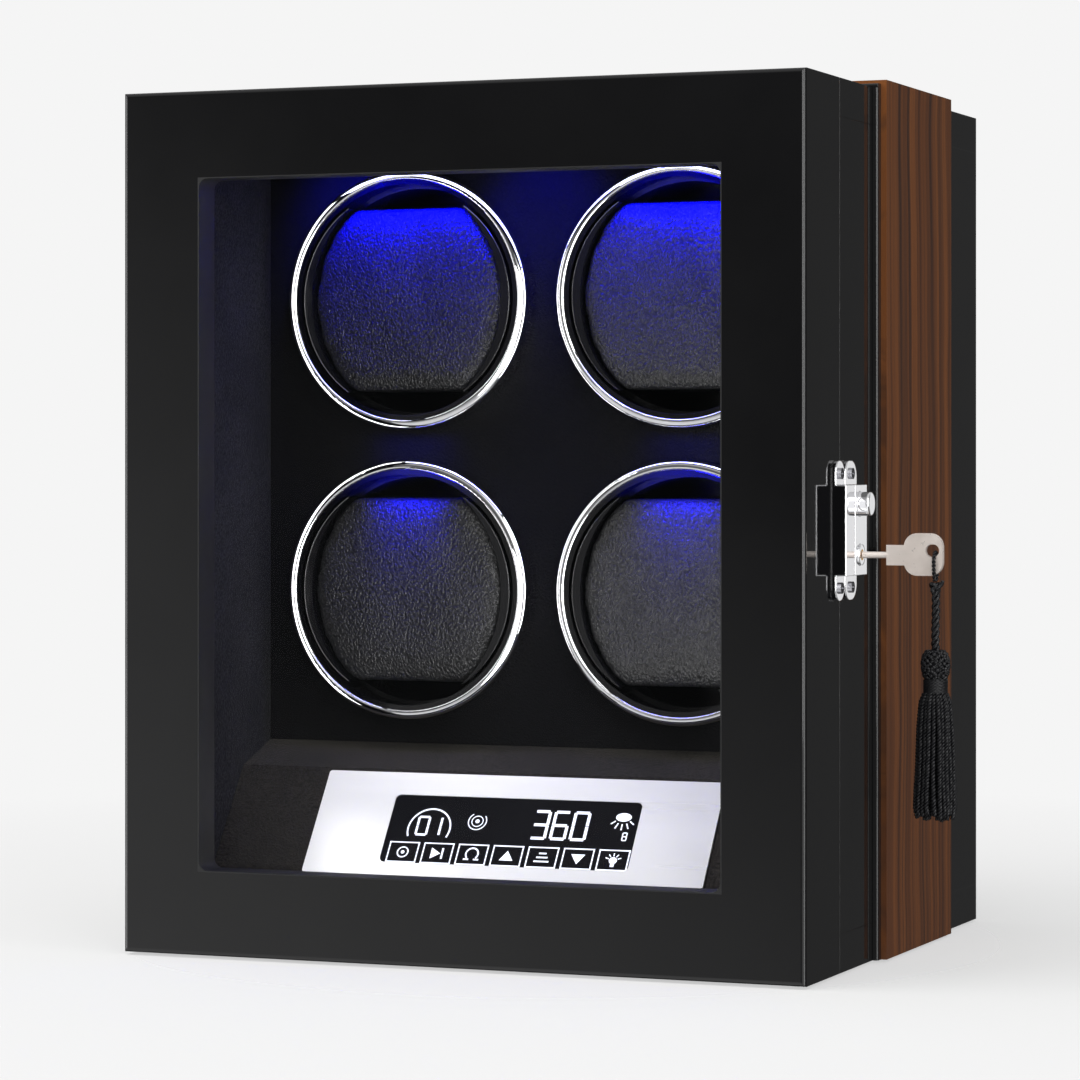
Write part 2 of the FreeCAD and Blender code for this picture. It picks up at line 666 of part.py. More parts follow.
def rotor_pulley(x, z):
    """The driven pulley behind the drum, on the axle that turns in the drive plate."""
    axle = rod_y(x, z, ROTOR_SHAFT_R, (CUP_BACK + 1, ROTOR_SHAFT_BACK))
    return joined(grooved_pulley(x, z, ROTOR_PULLEY_R, (CUP_BACK, ROTOR_PULLEY_BACK)) + [axle])


def cushion_outline(x, z, r, depths):
    """A round block cut flat above and below, where a watch strap goes round it."""
    sides = (x - CUSHION_R - 1, x + CUSHION_R + 1)
    band = box(sides, depths, (z - CUSHION_HALF_HEIGHT, z + CUSHION_HALF_HEIGHT))
    return rod_y(x, z, r, depths).common(band)


def cushion_pocket(x, z, r, depths):
    """The room between the cheeks, its two sides shallower arcs than the cushion's own."""
    sides = [rod_y(x + shift, z, r, depths) for shift in (-POCKET_SHIFT, POCKET_SHIFT)]
    return sides[0].common(sides[1])


def cushion_core(x, z):
    """A plastic carrier: two curved cheeks joined by a web at the back."""
    block = cushion_outline(x, z, CUSHION_R, (CUSHION_FRONT, CUSHION_BACK))
    block = block.makeFillet(CUSHION_RIM_ROUND, rims(block, CUSHION_FRONT, CUSHION_R))
    return block.cut(cushion_pocket(x, z, POCKET_R, (0, CUSHION_BACK - CUSHION_WEB)))


def cushion_pad(x, z):
    depths = (CUSHION_FRONT + 0.6, CUSHION_BACK - CUSHION_WEB - 0.1)
    block = cushion_outline(x, z, CUSHION_R, depths)
    return block.common(cushion_pocket(x, z, POCKET_R - PAD_GAP, depths))


def motor_pulley(x, z):
    mx, mz = motor_place(x, z)
    front = MOTOR_PULLEY_DEPTHS[0]
    shaft = rod_y(mx, mz, MOTOR_SHAFT_R, (front + 0.1, GEARBOX_FRONT + SHAFT_IN_GEARBOX))
    return joined(grooved_pulley(mx, mz, MOTOR_PULLEY_R, MOTOR_PULLEY_DEPTHS) + [shaft])


def gear_motors():
    """Small geared motors screwed to the back of the drive plate."""
    motors = []
    for _, x, z in rotor_places():
        mx, mz = motor_place(x, z)
        body = joined([rod_y(mx, mz, GEARBOX_R, (GEARBOX_FRONT, GEARBOX_FRONT + GEARBOX_LONG)),
                       rod_y(mx, mz, MOTOR_R, (GEARBOX_FRONT + GEARBOX_LONG - 1, GEARBOX_FRONT + MOTOR_LONG)),
                       rod_y(mx, mz, TAIL_R, (GEARBOX_FRONT + MOTOR_LONG - 1, GEARBOX_FRONT + TAIL_LONG))])
        socket = rod_y(mx, mz, MOTOR_SHAFT_R + RUN_GAP, (0, GEARBOX_FRONT + SHAFT_IN_GEARBOX + 1))
        motors.append(body.cut(socket))
    return Part.makeCompound(motors)


def belt_loop(first, r_first, second, r_second, depths):
    """The closed shape that a belt makes round two pulleys, as one solid block."""
    dx, dz = second[0] - first[0], second[1] - first[1]
    heading = math.atan2(dz, dx)
    lean = math.acos((r_first - r_second) / math.hypot(dx, dz))

    def point(centre, r, angle):
        return vec(centre[0] + r * math.cos(angle), depths[0], centre[1] + r * math.sin(angle))

    up_first, up_second = point(first, r_first, heading + lean), point(second, r_second, heading + lean)
    low_first, low_second = point(first, r_first, heading - lean), point(second, r_second, heading - lean)
    edges = [Part.Arc(up_first, point(first, r_first, heading + math.pi), low_first).toShape(),
             Part.LineSegment(low_first, low_second).toShape(),
             Part.Arc(low_second, point(second, r_second, heading), up_second).toShape(),
             Part.LineSegment(up_second, up_first).toShape()]
    face = Part.Face(Part.Wire(Part.__sortEdges__(edges)))
    return face.extrude(FreeCAD.Vector(0, depths[1] - depths[0], 0))


def drive_belts():
    belts = []
    depths = (GROOVE_DEPTHS[0] + 0.2, GROOVE_DEPTHS[1] - 0.2)
    for _, x, z in rotor_places():
        motor = motor_place(x, z)
        big, small = ROTOR_PULLEY_R + RUN_GAP, MOTOR_PULLEY_R + RUN_GAP
        outer = belt_loop((x, z), big + BELT_THICK, motor, small + BELT_THICK, depths)
        inner = belt_loop((x, z), big, motor, small, (depths[0] - 1, depths[1] + 1))
        belts.append(outer.cut(inner))
    return Part.makeCompound(belts)


def drive_plate():
    """The board that carries the rotor axles and the motors."""
    plate = box((-INNER_X, INNER_X), (PLATE_FRONT, PLATE_FRONT + PLATE_THICK), (INNER_LOW, INNER_HIGH))
    holes = []
    for _, x, z in rotor_places():
        mx, mz = motor_place(x, z)
        holes.append(rod_y(x, z, ROTOR_SHAFT_R + RUN_GAP, (0, DEPTH)))
        holes.append(rod_y(mx, mz, MOTOR_SHAFT_R + 0.6, (0, DEPTH)))
    return less(plate, holes)


# ---------------------------------------------------------------- lock

def crank_pin_place():
    """Depth and height of the crank pin when the lock is open."""
    angle = math.radians(CRANK_ANGLE)
    return LOCK_D - CRANK_R * math.cos(angle), BARREL_Z - CRANK_R * math.sin(angle)


def lobed_plate(depths, r):
    plate = box((SIDE, SIDE + PLATE_OUT), depths, LOCK_PLATE_Z)
    return rounded(plate, r, (1, 0, 0))


def lock_strike():
    """The door's half of the lock: plate, raised block and the tongue that enters the case."""
    block = box((SIDE, SIDE + CASE_OUT), STRIKE_DEPTHS, LOCK_CASE_Z)
    tongue = box(TONGUE_X, (STRIKE_DEPTHS[1] - 1, LOCK_D + 0.5), TONGUE_Z)
    notch = box((SIDE, SIDE + CASE_OUT), (BOLT_DEPTHS[0] - 0.3, BOLT_DEPTHS[1] + 0.4), (0, TONGUE_Z[0] + 3.9))
    plate = lobed_plate(STRIKE_DEPTHS, 4.4)
    holes = [pilot(p, INWARD) for p in lock_screw_points(STRIKE_DEPTHS)]
    return less(joined([plate, block, tongue]), [notch] + holes)


def lock_case():
    """The cabinet's half: plate and hollow case, bored for the barrel and the button."""
    block = box((SIDE, SIDE + CASE_OUT), LOCK_DEPTHS, LOCK_CASE_Z)
    wall = CASE_WALL
    hollow = box((SIDE + wall, SIDE + CASE_OUT - wall - 0.1), (LOCK_DEPTHS[0] + wall, LOCK_DEPTHS[1] - wall),
                 (LOCK_CASE_Z[0] + wall, LOCK_CASE_Z[1] - wall))
    slot = box((TONGUE_X[0] - 0.4, TONGUE_X[1] + 0.4), (LOCK_DEPTHS[0] - 1, LOCK_DEPTHS[0] + 2),
               (TONGUE_Z[0] - 0.4, TONGUE_Z[1] + 0.4))
    holes = [rod_x(LOCK_D, BARREL_Z, BARREL_R + RUN_GAP, (SIDE - 1, SIDE + 9)),
             rod_x(LOCK_D, BUTTON_Z, BUTTON_R + RUN_GAP, (SIDE + 2, SIDE + 9)),
             rod_x(LOCK_D, BUTTON_Z, 1.6, (SIDE - 1, SIDE + 9))]
    holes += [pilot(p, INWARD) for p in lock_screw_points(LOCK_DEPTHS)]
    body = joined([lobed_plate(LOCK_DEPTHS, 5.5), block])
    return less(body, [hollow, slot] + holes)


def lock_button():
    """A push knob with a flange that keeps it in the case and a stem into the wall."""
    knob = rod_x(LOCK_D, BUTTON_Z, BUTTON_R, (SIDE + 3.4, BUTTON_FACE))
    knob = knob.makeFillet(0.8, [e for e in knob.Edges if abs(e.BoundBox.XMin - BUTTON_FACE) < 1e-4])
    flange = rod_x(LOCK_D, BUTTON_Z, BUTTON_R + 0.5, (SIDE + 3.0, SIDE + 3.9))
    stem = rod_x(LOCK_D, BUTTON_Z, 1.5, (SIDE - 2.0, SIDE + 3.5))
    return joined([knob, flange, stem])


def lock_barrel():
    """Turned by the key; its crank pin lifts the bolt."""
    pin_d, pin_z = crank_pin_place()
    body = joined([rod_x(LOCK_D, BARREL_Z, BARREL_R, (SIDE - 6.5, SIDE + 1.3)),
                   rod_x(LOCK_D, BARREL_Z, 3.2, (SIDE + 1.2, SIDE + 2.1)),
                   rod_x(LOCK_D, BARREL_Z, 1.9, (SIDE + 2.0, SIDE + 4.1)),
                   rod_x(LOCK_D, BARREL_Z, BARREL_R, (SIDE + 4.0, BARREL_FACE)),
                   rod_x(pin_d, pin_z, CRANK_PIN_R, (SIDE + 2.0, SIDE + 3.6))])
    thick, wide = KEY_BLADE[0] / 2 + 0.1, KEY_BLADE[1] / 2 + 0.1
    keyway = box((SIDE - 4.0, BARREL_FACE + 1), (LOCK_D - thick, LOCK_D + thick),
                 (BARREL_Z - wide, BARREL_Z + wide))
    return body.cut(keyway)


def lock_bolt():
    """A flat bolt, lifted into the notch in the door's tongue when the key is turned."""
    pin_z = crank_pin_place()[1]
    play = CRANK_PIN_R + 0.25
    plate = box(BOLT_X, BOLT_DEPTHS, BOLT_Z)
    notch = box((SIDE, SIDE + CASE_OUT), (BOLT_DEPTHS[0] + 0.6, LOCK_D), (pin_z - play, pin_z + play))
    return plate.cut(notch)


# ---------------------------------------------------------------- key and tassel

def key():
    half = KEY_BLADE[0] / 2
    blade = box((SIDE - 3.2, SIDE + 6.2), (LOCK_D - half, LOCK_D + half),
                (BARREL_Z - KEY_BLADE[1] / 2, BARREL_Z + KEY_BLADE[1] / 2))
    thick = (LOCK_D - KEY_BOW_THICK / 2, LOCK_D + KEY_BOW_THICK / 2)
    collar_x = KEY_BOW_X[0] - KEY_COLLAR
    shaft = rod_x(LOCK_D, BARREL_Z, KEY_SHAFT_R, (SIDE + 6.1, collar_x + 0.7))
    collar = box((collar_x, KEY_BOW_X[0] + 2), thick, (BARREL_Z - 3.4, BARREL_Z + 3.4))
    bow = rounded(box(KEY_BOW_X, thick, KEY_BOW_Z), 4.6, (0, 1, 0))
    eye = box((HOLE_X - 3.2, HOLE_X + 1.5), (0, DEPTH), (HOLE_Z - 1.4, HOLE_Z + 2.8))
    hole = rounded(eye, 2.0, (0, 1, 0))
    return joined([blade, shaft, collar, bow]).cut(hole)


def limp_path(points, share=0.45):
    """Straight runs joined by tangent arcs, each as large as its two runs allow."""
    edges = []
    start = points[0]
    for before, corner, after in zip(points, points[1:], points[2:]):
        back, ahead = before - corner, after - corner
        half_turn = (math.pi - back.getAngle(ahead)) / 2
        reach = share * min(back.Length, ahead.Length)
        back.normalize()
        ahead.normalize()
        radius = reach / math.tan(half_turn)
        bisector = (back + ahead).normalize()
        middle = corner + bisector * (radius / math.cos(half_turn) - radius)
        entry, leave = corner + back * reach, corner + ahead * reach
        edges.append(Part.LineSegment(start, entry).toShape())
        edges.append(Part.Arc(entry, middle, leave).toShape())
        start = leave
    edges.append(Part.LineSegment(start, points[-1]).toShape())
    return Part.Wire(edges)


def tube(points, r):
    """A round cord along a route."""
    path = limp_path(points)
    section = Part.Wire(Part.makeCircle(r, points[0], points[1] - points[0]))
    return path.makePipeShell([section], True, True)


def route(points):
    return [vec(HOLE_X + across, LOCK_D + back, PAD + z) for across, back, z in points]


def tassel_loop():
    """The strand that goes through the key's bow and back down to the knot."""
    return tube(route(LOOP_ROUTE), STRAND_R)


def tassel_cord():
    """The twisted cord, with the knot at its top."""
    knot = Part.makeSphere(KNOT_R, vec(HOLE_X, LOCK_D, KNOT_Z))
    return tube(route(CORD_ROUTE), CORD_R).fuse(knot).removeSplitter()


def tassel():
    """Woven head, neck band and skirt of hanging strands, as one turned shape."""
    head, neck, hem = HEAD_TOP, PAD + 99.0, PAD + 53.0
    outline = [(0, head), (2.4, head), (4.3, head - 2.0), (4.8, head - 5.0), (4.3, neck + 0.8), (3.8, neck),
               (4.0, neck - 4.6), (5.3, neck - 9.0), (6.4, neck - 22.0), (7.5, hem), (0, hem)]
    corners = [vec(HOLE_X + r, LOCK_D, z) for r, z in outline]
    face = Part.Face(Part.makePolygon(corners + corners[:1]))
    body = face.revolve(vec(HOLE_X, LOCK_D, 0), FreeCAD.Vector(0, 0, 1), 360)
    return body.cut(rod_z(HOLE_X, LOCK_D, CORD_R + 0.25, (PAD + 99.7, head + 1)))


# ---------------------------------------------------------------- the parts

FIXED_PARTS = {
    "door_frame": door_frame, "door_glass": door_glass, "glass_retainer": glass_retainer,
    "door_screws": door_screws, "lock_strike": lock_strike,
    "top_panel": top_panel, "bottom_panel": bottom_panel, "left_panel": left_panel,
    "right_panel": right_panel, "back_panel": back_panel,
    "base_pad": base_pad, "cabinet_screws": cabinet_screws, "walnut_band": walnut_band,
    "trim_moulding": trim_moulding, "velvet_lining": velvet_lining, "rotor_panel": rotor_panel,
    "led_strip": led_strip, "dc_jack": dc_jack, "console": console, "control_plate": control_plate,
    "touch_display": touch_display, "control_board": control_board, "drive_plate": drive_plate,
    "gear_motors": gear_motors, "drive_belts": drive_belts, "hinge_pins": hinge_pins,
    "lock_case": lock_case, "lock_button": lock_button, "lock_barrel": lock_barrel,
    "lock_bolt": lock_bolt, "key": key, "tassel_loop": tassel_loop, "tassel_cord": tassel_cord,
    "tassel": tassel,
}
ROTOR_PARTS = {
    "chrome_ring": chrome_ring, "rotor_cup": rotor_cup, "rotor_pulley": rotor_pulley,
    "cushion_core": cushion_core, "cushion_pad": cushion_pad, "motor_pulley": motor_pulley,
}


def main():
    for name, make in FIXED_PARTS.items():
        save(name, make())
    save("door_hinge_leaves", leaf_set((DOOR_BACK - LEAF_THICK, DOOR_BACK), (1,), DOOR_BACK, FORWARD))
    cabinet_side = (CABINET_FRONT, CABINET_FRONT + LEAF_THICK)
    save("cabinet_hinge_leaves", leaf_set(cabinet_side, (0, 2), CABINET_FRONT, BACKWARD))
    for number, x, z in rotor_places():
        for name, make in ROTOR_PARTS.items():
            save(f"{name}_{number}", make(x, z))


main()
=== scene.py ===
import math
import random

import bpy
import numpy as np
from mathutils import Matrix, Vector


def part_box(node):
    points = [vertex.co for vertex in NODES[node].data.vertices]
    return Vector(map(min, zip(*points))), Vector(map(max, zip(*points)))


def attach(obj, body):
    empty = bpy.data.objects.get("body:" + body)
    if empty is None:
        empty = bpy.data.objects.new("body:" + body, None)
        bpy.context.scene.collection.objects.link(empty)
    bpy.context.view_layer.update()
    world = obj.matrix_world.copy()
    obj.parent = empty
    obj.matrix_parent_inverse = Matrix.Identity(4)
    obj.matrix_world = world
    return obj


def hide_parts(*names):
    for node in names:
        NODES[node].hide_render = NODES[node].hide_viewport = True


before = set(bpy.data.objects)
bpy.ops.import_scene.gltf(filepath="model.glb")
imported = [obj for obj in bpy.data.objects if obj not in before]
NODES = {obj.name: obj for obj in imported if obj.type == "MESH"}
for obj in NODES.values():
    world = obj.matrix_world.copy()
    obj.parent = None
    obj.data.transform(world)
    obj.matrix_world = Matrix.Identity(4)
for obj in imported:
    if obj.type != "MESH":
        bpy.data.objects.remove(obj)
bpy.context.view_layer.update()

# The looks of a four-place watch winder cabinet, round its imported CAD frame. Metres, +Z up, door towards -Y.

ROTORS = (1, 2, 3, 4)
UPPER_ROTORS = (1, 2)
MM = 0.001
TURN = 2 * math.pi
RNG = random.Random(7)


# ---------------------------------------------------------------- camera

# Lens and sensor in millimetres, shift as a share of the picture, turn in degrees.
LENS = 130.63
SENSOR = 36.0
LENS_SHIFT = -0.0732
CAMERA_PLACE = (0.5200, -1.3211, 0.1726)
CAMERA_TURN = 21.847


def make_camera():
    """A level camera at the photograph's viewing angle."""
    data = bpy.data.cameras.new("camera")
    data.lens = LENS
    data.sensor_width = SENSOR
    data.shift_y = LENS_SHIFT
    data.clip_start = 0.05
    camera = placed("camera", data)
    camera.location = CAMERA_PLACE
    camera.rotation_euler = (math.radians(90), 0, math.radians(CAMERA_TURN))
    bpy.context.scene.camera = camera


# ---------------------------------------------------------------- mesh helpers

def placed(name, data):
    """A new object of the scene."""
    obj = bpy.data.objects.new(name, data)
    bpy.context.scene.collection.objects.link(obj)
    return obj


def painted(name, mesh, finish):
    mesh.materials.append(FINISH[finish])
    return placed(name, mesh)


def piece(name, parts, finish, body, smooth=True):
    """One object from several (points, faces) parts, riding on a CAD body."""
    points, faces = [], []
    for part_points, part_faces in parts:
        shift = len(points)
        points.extend(part_points)
        faces.extend([tuple(i + shift for i in f) for f in part_faces])
    mesh = bpy.data.meshes.new(name)
    mesh.from_pydata([tuple(p) for p in points], [], faces)
    mesh.polygons.foreach_set("use_smooth", [smooth] * len(mesh.polygons))
    obj = painted(name, mesh, finish)
    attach(obj, body)
    return obj


def between_rings(rings, sides):
    """The faces from each ring of points to the next."""
    faces = []
    for i in range(rings - 1):
        for j in range(sides):
            k = (j + 1) % sides
            faces.append((i * sides + j, i * sides + k, (i + 1) * sides + k, (i + 1) * sides + j))
    return faces


def slab_faces(count):
    """The faces of a slab between two outlines that have the same number of points."""
    return [*between_rings(2, count), tuple(reversed(range(count))), tuple(range(count, 2 * count))]


def axes_along(line):
    """Two directions square to a line at each of its points, with no sudden turns."""
    ahead = np.gradient(line, axis=0)
    ahead /= np.linalg.norm(ahead, axis=1)[:, None]
    side = np.array((0.0, 1.0, 0.0)) if abs(ahead[0][1]) < 0.9 else np.array((1.0, 0.0, 0.0))
    first = np.empty_like(line)
    for i, direction in enumerate(ahead):
        side = side - direction * (side @ direction)
        side = side / np.linalg.norm(side)
        first[i] = side
    return first, np.cross(ahead, first)


def tube(line, radius, sides=7):
    """A closed tube along a line."""
    line = np.asarray(line, float)
    first, second = axes_along(line)
    angle = np.arange(sides) * TURN / sides
    across = np.cos(angle)[None, :, None] * first[:, None] + np.sin(angle)[None, :, None] * second[:, None]
    points = (line[:, None] + radius * across).reshape(-1, 3)
    ends = [tuple(reversed(range(sides))), tuple(range(len(points) - sides, len(points)))]
    return points, between_rings(len(line), sides) + ends


def lengths_along(line):
    """How far along a line each of its points is."""
    return np.concatenate([[0], np.cumsum(np.linalg.norm(np.diff(line, axis=0), axis=1))])


def resampled(line, step):
    along = lengths_along(line)
    at = np.linspace(0, along[-1], max(3, math.ceil(along[-1] / step)))
    return np.stack([np.interp(at, along, line[:, k]) for k in range(3)], axis=1)


def plies(line, count, radius, pitch, sides=6, step=0.22 * MM):
    """Yarns twisted round a line, touching each other."""
    line = resampled(np.asarray(line, float), step)
    first, second = axes_along(line)
    along = lengths_along(line)
    offset = radius * (0.95 if count == 2 else 1.12)
    parts = []
    for i in range(count):
        angle = TURN * (along / pitch + i / count)
        wound = line + offset * (np.cos(angle)[:, None] * first + np.sin(angle)[:, None] * second)
        parts.append(tube(wound, radius, sides))
    return parts


def revolved(profile, centre, steps):
    """A turned skin from (radius, height) points, round a vertical axis."""
    points = []
    for r, z in profile:
        for j in range(steps):
            a = TURN * j / steps
            points.append((centre[0] + r * math.cos(a), centre[1] + r * math.sin(a), z))
    return points, between_rings(len(profile), steps)


def nurbs(name, points):
    """A smooth NURBS curve with the route's points as its control points."""
    curve = bpy.data.curves.new(name, "CURVE")
    curve.dimensions = "3D"
    curve.resolution_u = 16
    spline = curve.splines.new("NURBS")
    spline.points.add(len(points) - 1)
    for control, p in zip(spline.points, points):
        control.co = (*p, 1.0)
    spline.order_u = 3
    spline.use_endpoint_u = True
    return curve


def line_of(curve):
    """The points of a curve's own line."""
    holder = bpy.data.objects.new("line", curve)
    mesh = bpy.data.meshes.new_from_object(holder)
    line = np.array([v.co for v in mesh.vertices], float).reshape(-1, 3)
    bpy.data.objects.remove(holder)
    bpy.data.meshes.remove(mesh)
    bpy.data.curves.remove(curve)
    return line


# ---------------------------------------------------------------- cord and tassel

# Route points: across from the key's hole, back from the key's plane, and up from the box's underside.
LOOP_ROUTE = [(0, 0.9, 131.6), (0, 2.3, 133.8), (0, 2.2, 139.4), (0, 0.1, 141.7),
              (0, -2.3, 139.4), (0, -2.2, 133.8), (0, -0.9, 131.6)]
CORD_ROUTE = [(0, 0, 130.7), (0.2, -0.1, 123.0), (-0.1, 0.1, 115.2), (0, 0, 107.5), (0.1, 0, 99.9)]
TAIL_ROUTE = [(0.8, 0, 129.4), (2.2, -0.4, 130.3), (2.7, -0.5, 131.7)]
HOLE_X = 156.4
KEY_PLANE_Y = -60.0
FOOT = 1.0
CORD_PLY_R = 0.69 * MM
CORD_PITCH = 7.4 * MM
LOOP_PLY_R = 0.37 * MM
LOOP_PITCH = 2.6 * MM
KNOT_SIZE = 1.75 * MM
KNOT_YARN_R = 0.72 * MM
KNOT_TAIL_R = 0.62 * MM

AXIS = (HOLE_X * MM, KEY_PLANE_Y * MM)
KNOT_Z = (129.4 + FOOT) * MM
HEAD_TOP = (108.7 + FOOT) * MM
NECK = (99.0 + FOOT) * MM
BAND_FOOT = (94.4 + FOOT) * MM
HEM = (53.0 + FOOT) * MM

# The tassel's turned outlines: radius, and height above (or below) a level, in millimetres.
HEAD_SHAPE = [(1.5, 0), (3.2, -0.5), (4.1, -1.8), (4.6, -4.0), (4.6, -6.0), (4.1, -8.4), (3.4, -9.9)]
SKIRT_TOP_SHAPE = [(3.7, 0.6), (4.5, -0.6), (5.6, -3.4), (6.3, -12.0), (6.9, -26.0)]
SKIRT_HEM_SHAPE = [(7.3, 3.0), (6.5, -1.0)]

HEAD_YARNS = 11
HEAD_LEAN = 0.42
HEAD_YARN_R = 0.5 * MM
HEAD_SKIN = 0.55 * MM
HEAD_CROSSING = 0.28 * MM
BAND_TURNS = 9
BAND_R = 3.85 * MM
BAND_YARN_R = 0.33 * MM
BAND_CORE_R = 3.6 * MM
SKIRT_RINGS = ((22, 1.0), (15, 0.72), (8, 0.4))
SKIRT_DEPTHS = (0.62 * MM, 1.07 * MM)
SKIRT_JITTER = 0.08
SKIRT_DRIFT = 0.12
SKIRT_STEP = 0.3 * MM
SKIRT_YARN_R = 0.44 * MM
SKIRT_PITCH = 2.3 * MM


def route(points):
    return [((HOLE_X + x) * MM, (KEY_PLANE_Y + y) * MM, (FOOT + z) * MM) for x, y, z in points]


def round_axis(r, angle, z):
    """A point round the tassel's upright axis."""
    return (AXIS[0] + r * math.cos(angle), AXIS[1] + r * math.sin(angle), z)


def profile_radius(profile, z):
    """The radius of a turned profile at a height; its points run downwards."""
    heights = [p[1] for p in reversed(profile)]
    return float(np.interp(z, heights, [p[0] for p in reversed(profile)]))


def turned(shape, level):
    """A turned outline in metres from one in millimetres about a level."""
    return [(r * MM, level + z * MM) for r, z in shape]


def overhand_knot(centre, size, radius):
    """A small tight knot, as a closed line that crosses itself three times."""
    line = []
    for t in np.linspace(0, TURN, 91):
        line.append((centre[0] + size * (math.sin(t) + 2 * math.sin(2 * t)) / 3,
                     centre[1] - size * math.sin(3 * t) * 0.62,
                     centre[2] + size * (math.cos(t) - 2 * math.cos(2 * t)) / 3))
    return tube(line, radius, 8)


def make_cord():
    """The loop through the key, its knot, the twisted cord and the tassel, as one hanging cord."""
    line = line_of(nurbs("cord_line", route(CORD_ROUTE)))
    cord = piece("tassel_cord_twist", plies(line, 3, CORD_PLY_R, CORD_PITCH, 8), "tassel_thread", "tassel")
    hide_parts("tassel_cord")
    tail = tube(resampled(np.array(route(TAIL_ROUTE)), 0.3 * MM), KNOT_TAIL_R, 8)
    knot = piece("cord_knot", [overhand_knot((*AXIS, KNOT_Z), KNOT_SIZE, KNOT_YARN_R), tail],
                 "tassel_thread", "tassel")
    loop_line = line_of(nurbs("loop_line", route(LOOP_ROUTE)))
    loop = piece("cord_loop", plies(loop_line, 2, LOOP_PLY_R, LOOP_PITCH), "tassel_thread", "tassel")
    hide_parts("tassel_loop")
    tassel = [make_head(), make_band(), make_skirt()]


def make_head():
    """The tassel's head: yarns that lean both ways and pass over and under each other."""
    outline = turned(HEAD_SHAPE, HEAD_TOP)
    weave = [revolved([(r - HEAD_SKIN, z) for r, z in outline], AXIS, 40)]
    for hand in (1, -1):
        for i in range(HEAD_YARNS):
            line = []
            for s in np.linspace(0, 1, 54):
                z = HEAD_TOP - 0.4 * MM + s * (NECK - HEAD_TOP + 0.2 * MM)
                angle = TURN * (i / HEAD_YARNS + hand * HEAD_LEAN * s)
                over = hand * math.cos(TURN * HEAD_LEAN * 2 * HEAD_YARNS * s + math.pi * i)
                r = profile_radius(outline, z) - HEAD_CROSSING * (1 - over)
                line.append(round_axis(r, angle, z))
            weave.append(tube(line, HEAD_YARN_R))
    head = piece("tassel_head", weave, "tassel_thread", "tassel")
    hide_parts("tassel")
    return head


def make_band():
    """The tassel's neck: yarn wound round and round."""
    line = []
    for s in np.linspace(0, 1, BAND_TURNS * 26):
        z = NECK - 0.25 * MM + s * (BAND_FOOT - NECK + 0.3 * MM)
        line.append(round_axis(BAND_R, TURN * BAND_TURNS * s, z))
    sleeve = revolved([(BAND_CORE_R, NECK), (BAND_CORE_R, BAND_FOOT)], AXIS, 32)
    return piece("tassel_band", [sleeve, tube(line, BAND_YARN_R)], "tassel_thread", "tassel")


def make_skirt():
    """The tassel's skirt: rings of two-ply strands, each with its own drift and sway."""
    outline = turned(SKIRT_TOP_SHAPE, BAND_FOOT) + turned(SKIRT_HEM_SHAPE, HEM)
    top = BAND_FOOT + 0.6 * MM
    strands = []
    for ring, (number, share) in enumerate(SKIRT_RINGS):
        for i in range(number):
            start = TURN * (i + 0.5 * ring + RNG.uniform(-SKIRT_JITTER, SKIRT_JITTER)) / number
            drift = RNG.uniform(-SKIRT_DRIFT, SKIRT_DRIFT)
            sway = RNG.uniform(0, TURN)
            deep = SKIRT_DEPTHS[i % 2]
            end = HEM + RNG.uniform(-0.6, 1.6) * MM - (1 - share) * 1.6 * MM
            line = []
            for s in np.linspace(0, 1, 24):
                z = top + s * (end - top)
                r = share * (profile_radius(outline, z) - deep) + 0.14 * MM * math.sin(sway + 9 * s) * s
                angle = start + drift * s + 0.05 * math.sin(sway + 7 * s) * s
                line.append(round_axis(r, angle, z))
            strands += plies(line, 2, SKIRT_YARN_R, SKIRT_PITCH, 6 if ring == 0 else 5, SKIRT_STEP)
    return piece("tassel_skirt", strands, "tassel_thread", "tassel")


# ---------------------------------------------------------------- leather pads

# From the front a pad has two side arcs, each centred SIDE_SHIFT beyond the middle. Plain sizes are in
# millimetres.
SIDE_R = 44.6
SIDE_SHIFT = 7.3
PAD_FRONT = -22.6
PAD_BACK = 12.2
ROOM_R = SIDE_R - 0.35
ROOM_HALF = 33.1
UNDERSIZE = 0.6
VOXEL = 4.0 * MM
CLOTH_STEPS = 20
PRESSURE = 4.0
PAD_CAP = 5.0 * MM
SPREAD = 1.045
DOME = 1.8 * MM
EVEN_ROUNDS = 6
RIPPLE = 0.22 * MM
RIPPLE_WAVES = (130, 110)
LEAST = 1e-6


def pad_room(angle, r, half):
    """How far a pad's outline is from its middle, each way round: two arcs cut flat above and below."""
    sides = np.sqrt(r ** 2 - (SIDE_SHIFT * np.sin(angle)) ** 2) - SIDE_SHIFT * np.abs(np.cos(angle))
    return np.minimum(sides, half / np.maximum(np.abs(np.sin(angle)), LEAST)) * MM


def pad_blank():
    """The pad's outline before it is filled, round X = Z = 0, a little undersize."""
    angles = np.linspace(0, TURN, 96, endpoint=False)
    reach = pad_room(angles, ROOM_R - UNDERSIZE, ROOM_HALF - UNDERSIZE)
    outline = list(zip(reach * np.cos(angles), reach * np.sin(angles)))
    points = [(x, y * MM, z) for y in (PAD_FRONT, PAD_BACK) for x, z in outline]
    mesh = bpy.data.meshes.new("pad_blank")
    mesh.from_pydata(points, [], slab_faces(len(outline)))
    return mesh


def settled(obj):
    """The mesh of an object with its modifiers worked out."""
    graph = bpy.context.evaluated_depsgraph_get()
    return bpy.data.meshes.new_from_object(obj.evaluated_get(graph))


def coordinates(mesh):
    co = np.zeros(len(mesh.vertices) * 3)
    mesh.vertices.foreach_get("co", co)
    return co.reshape(-1, 3)


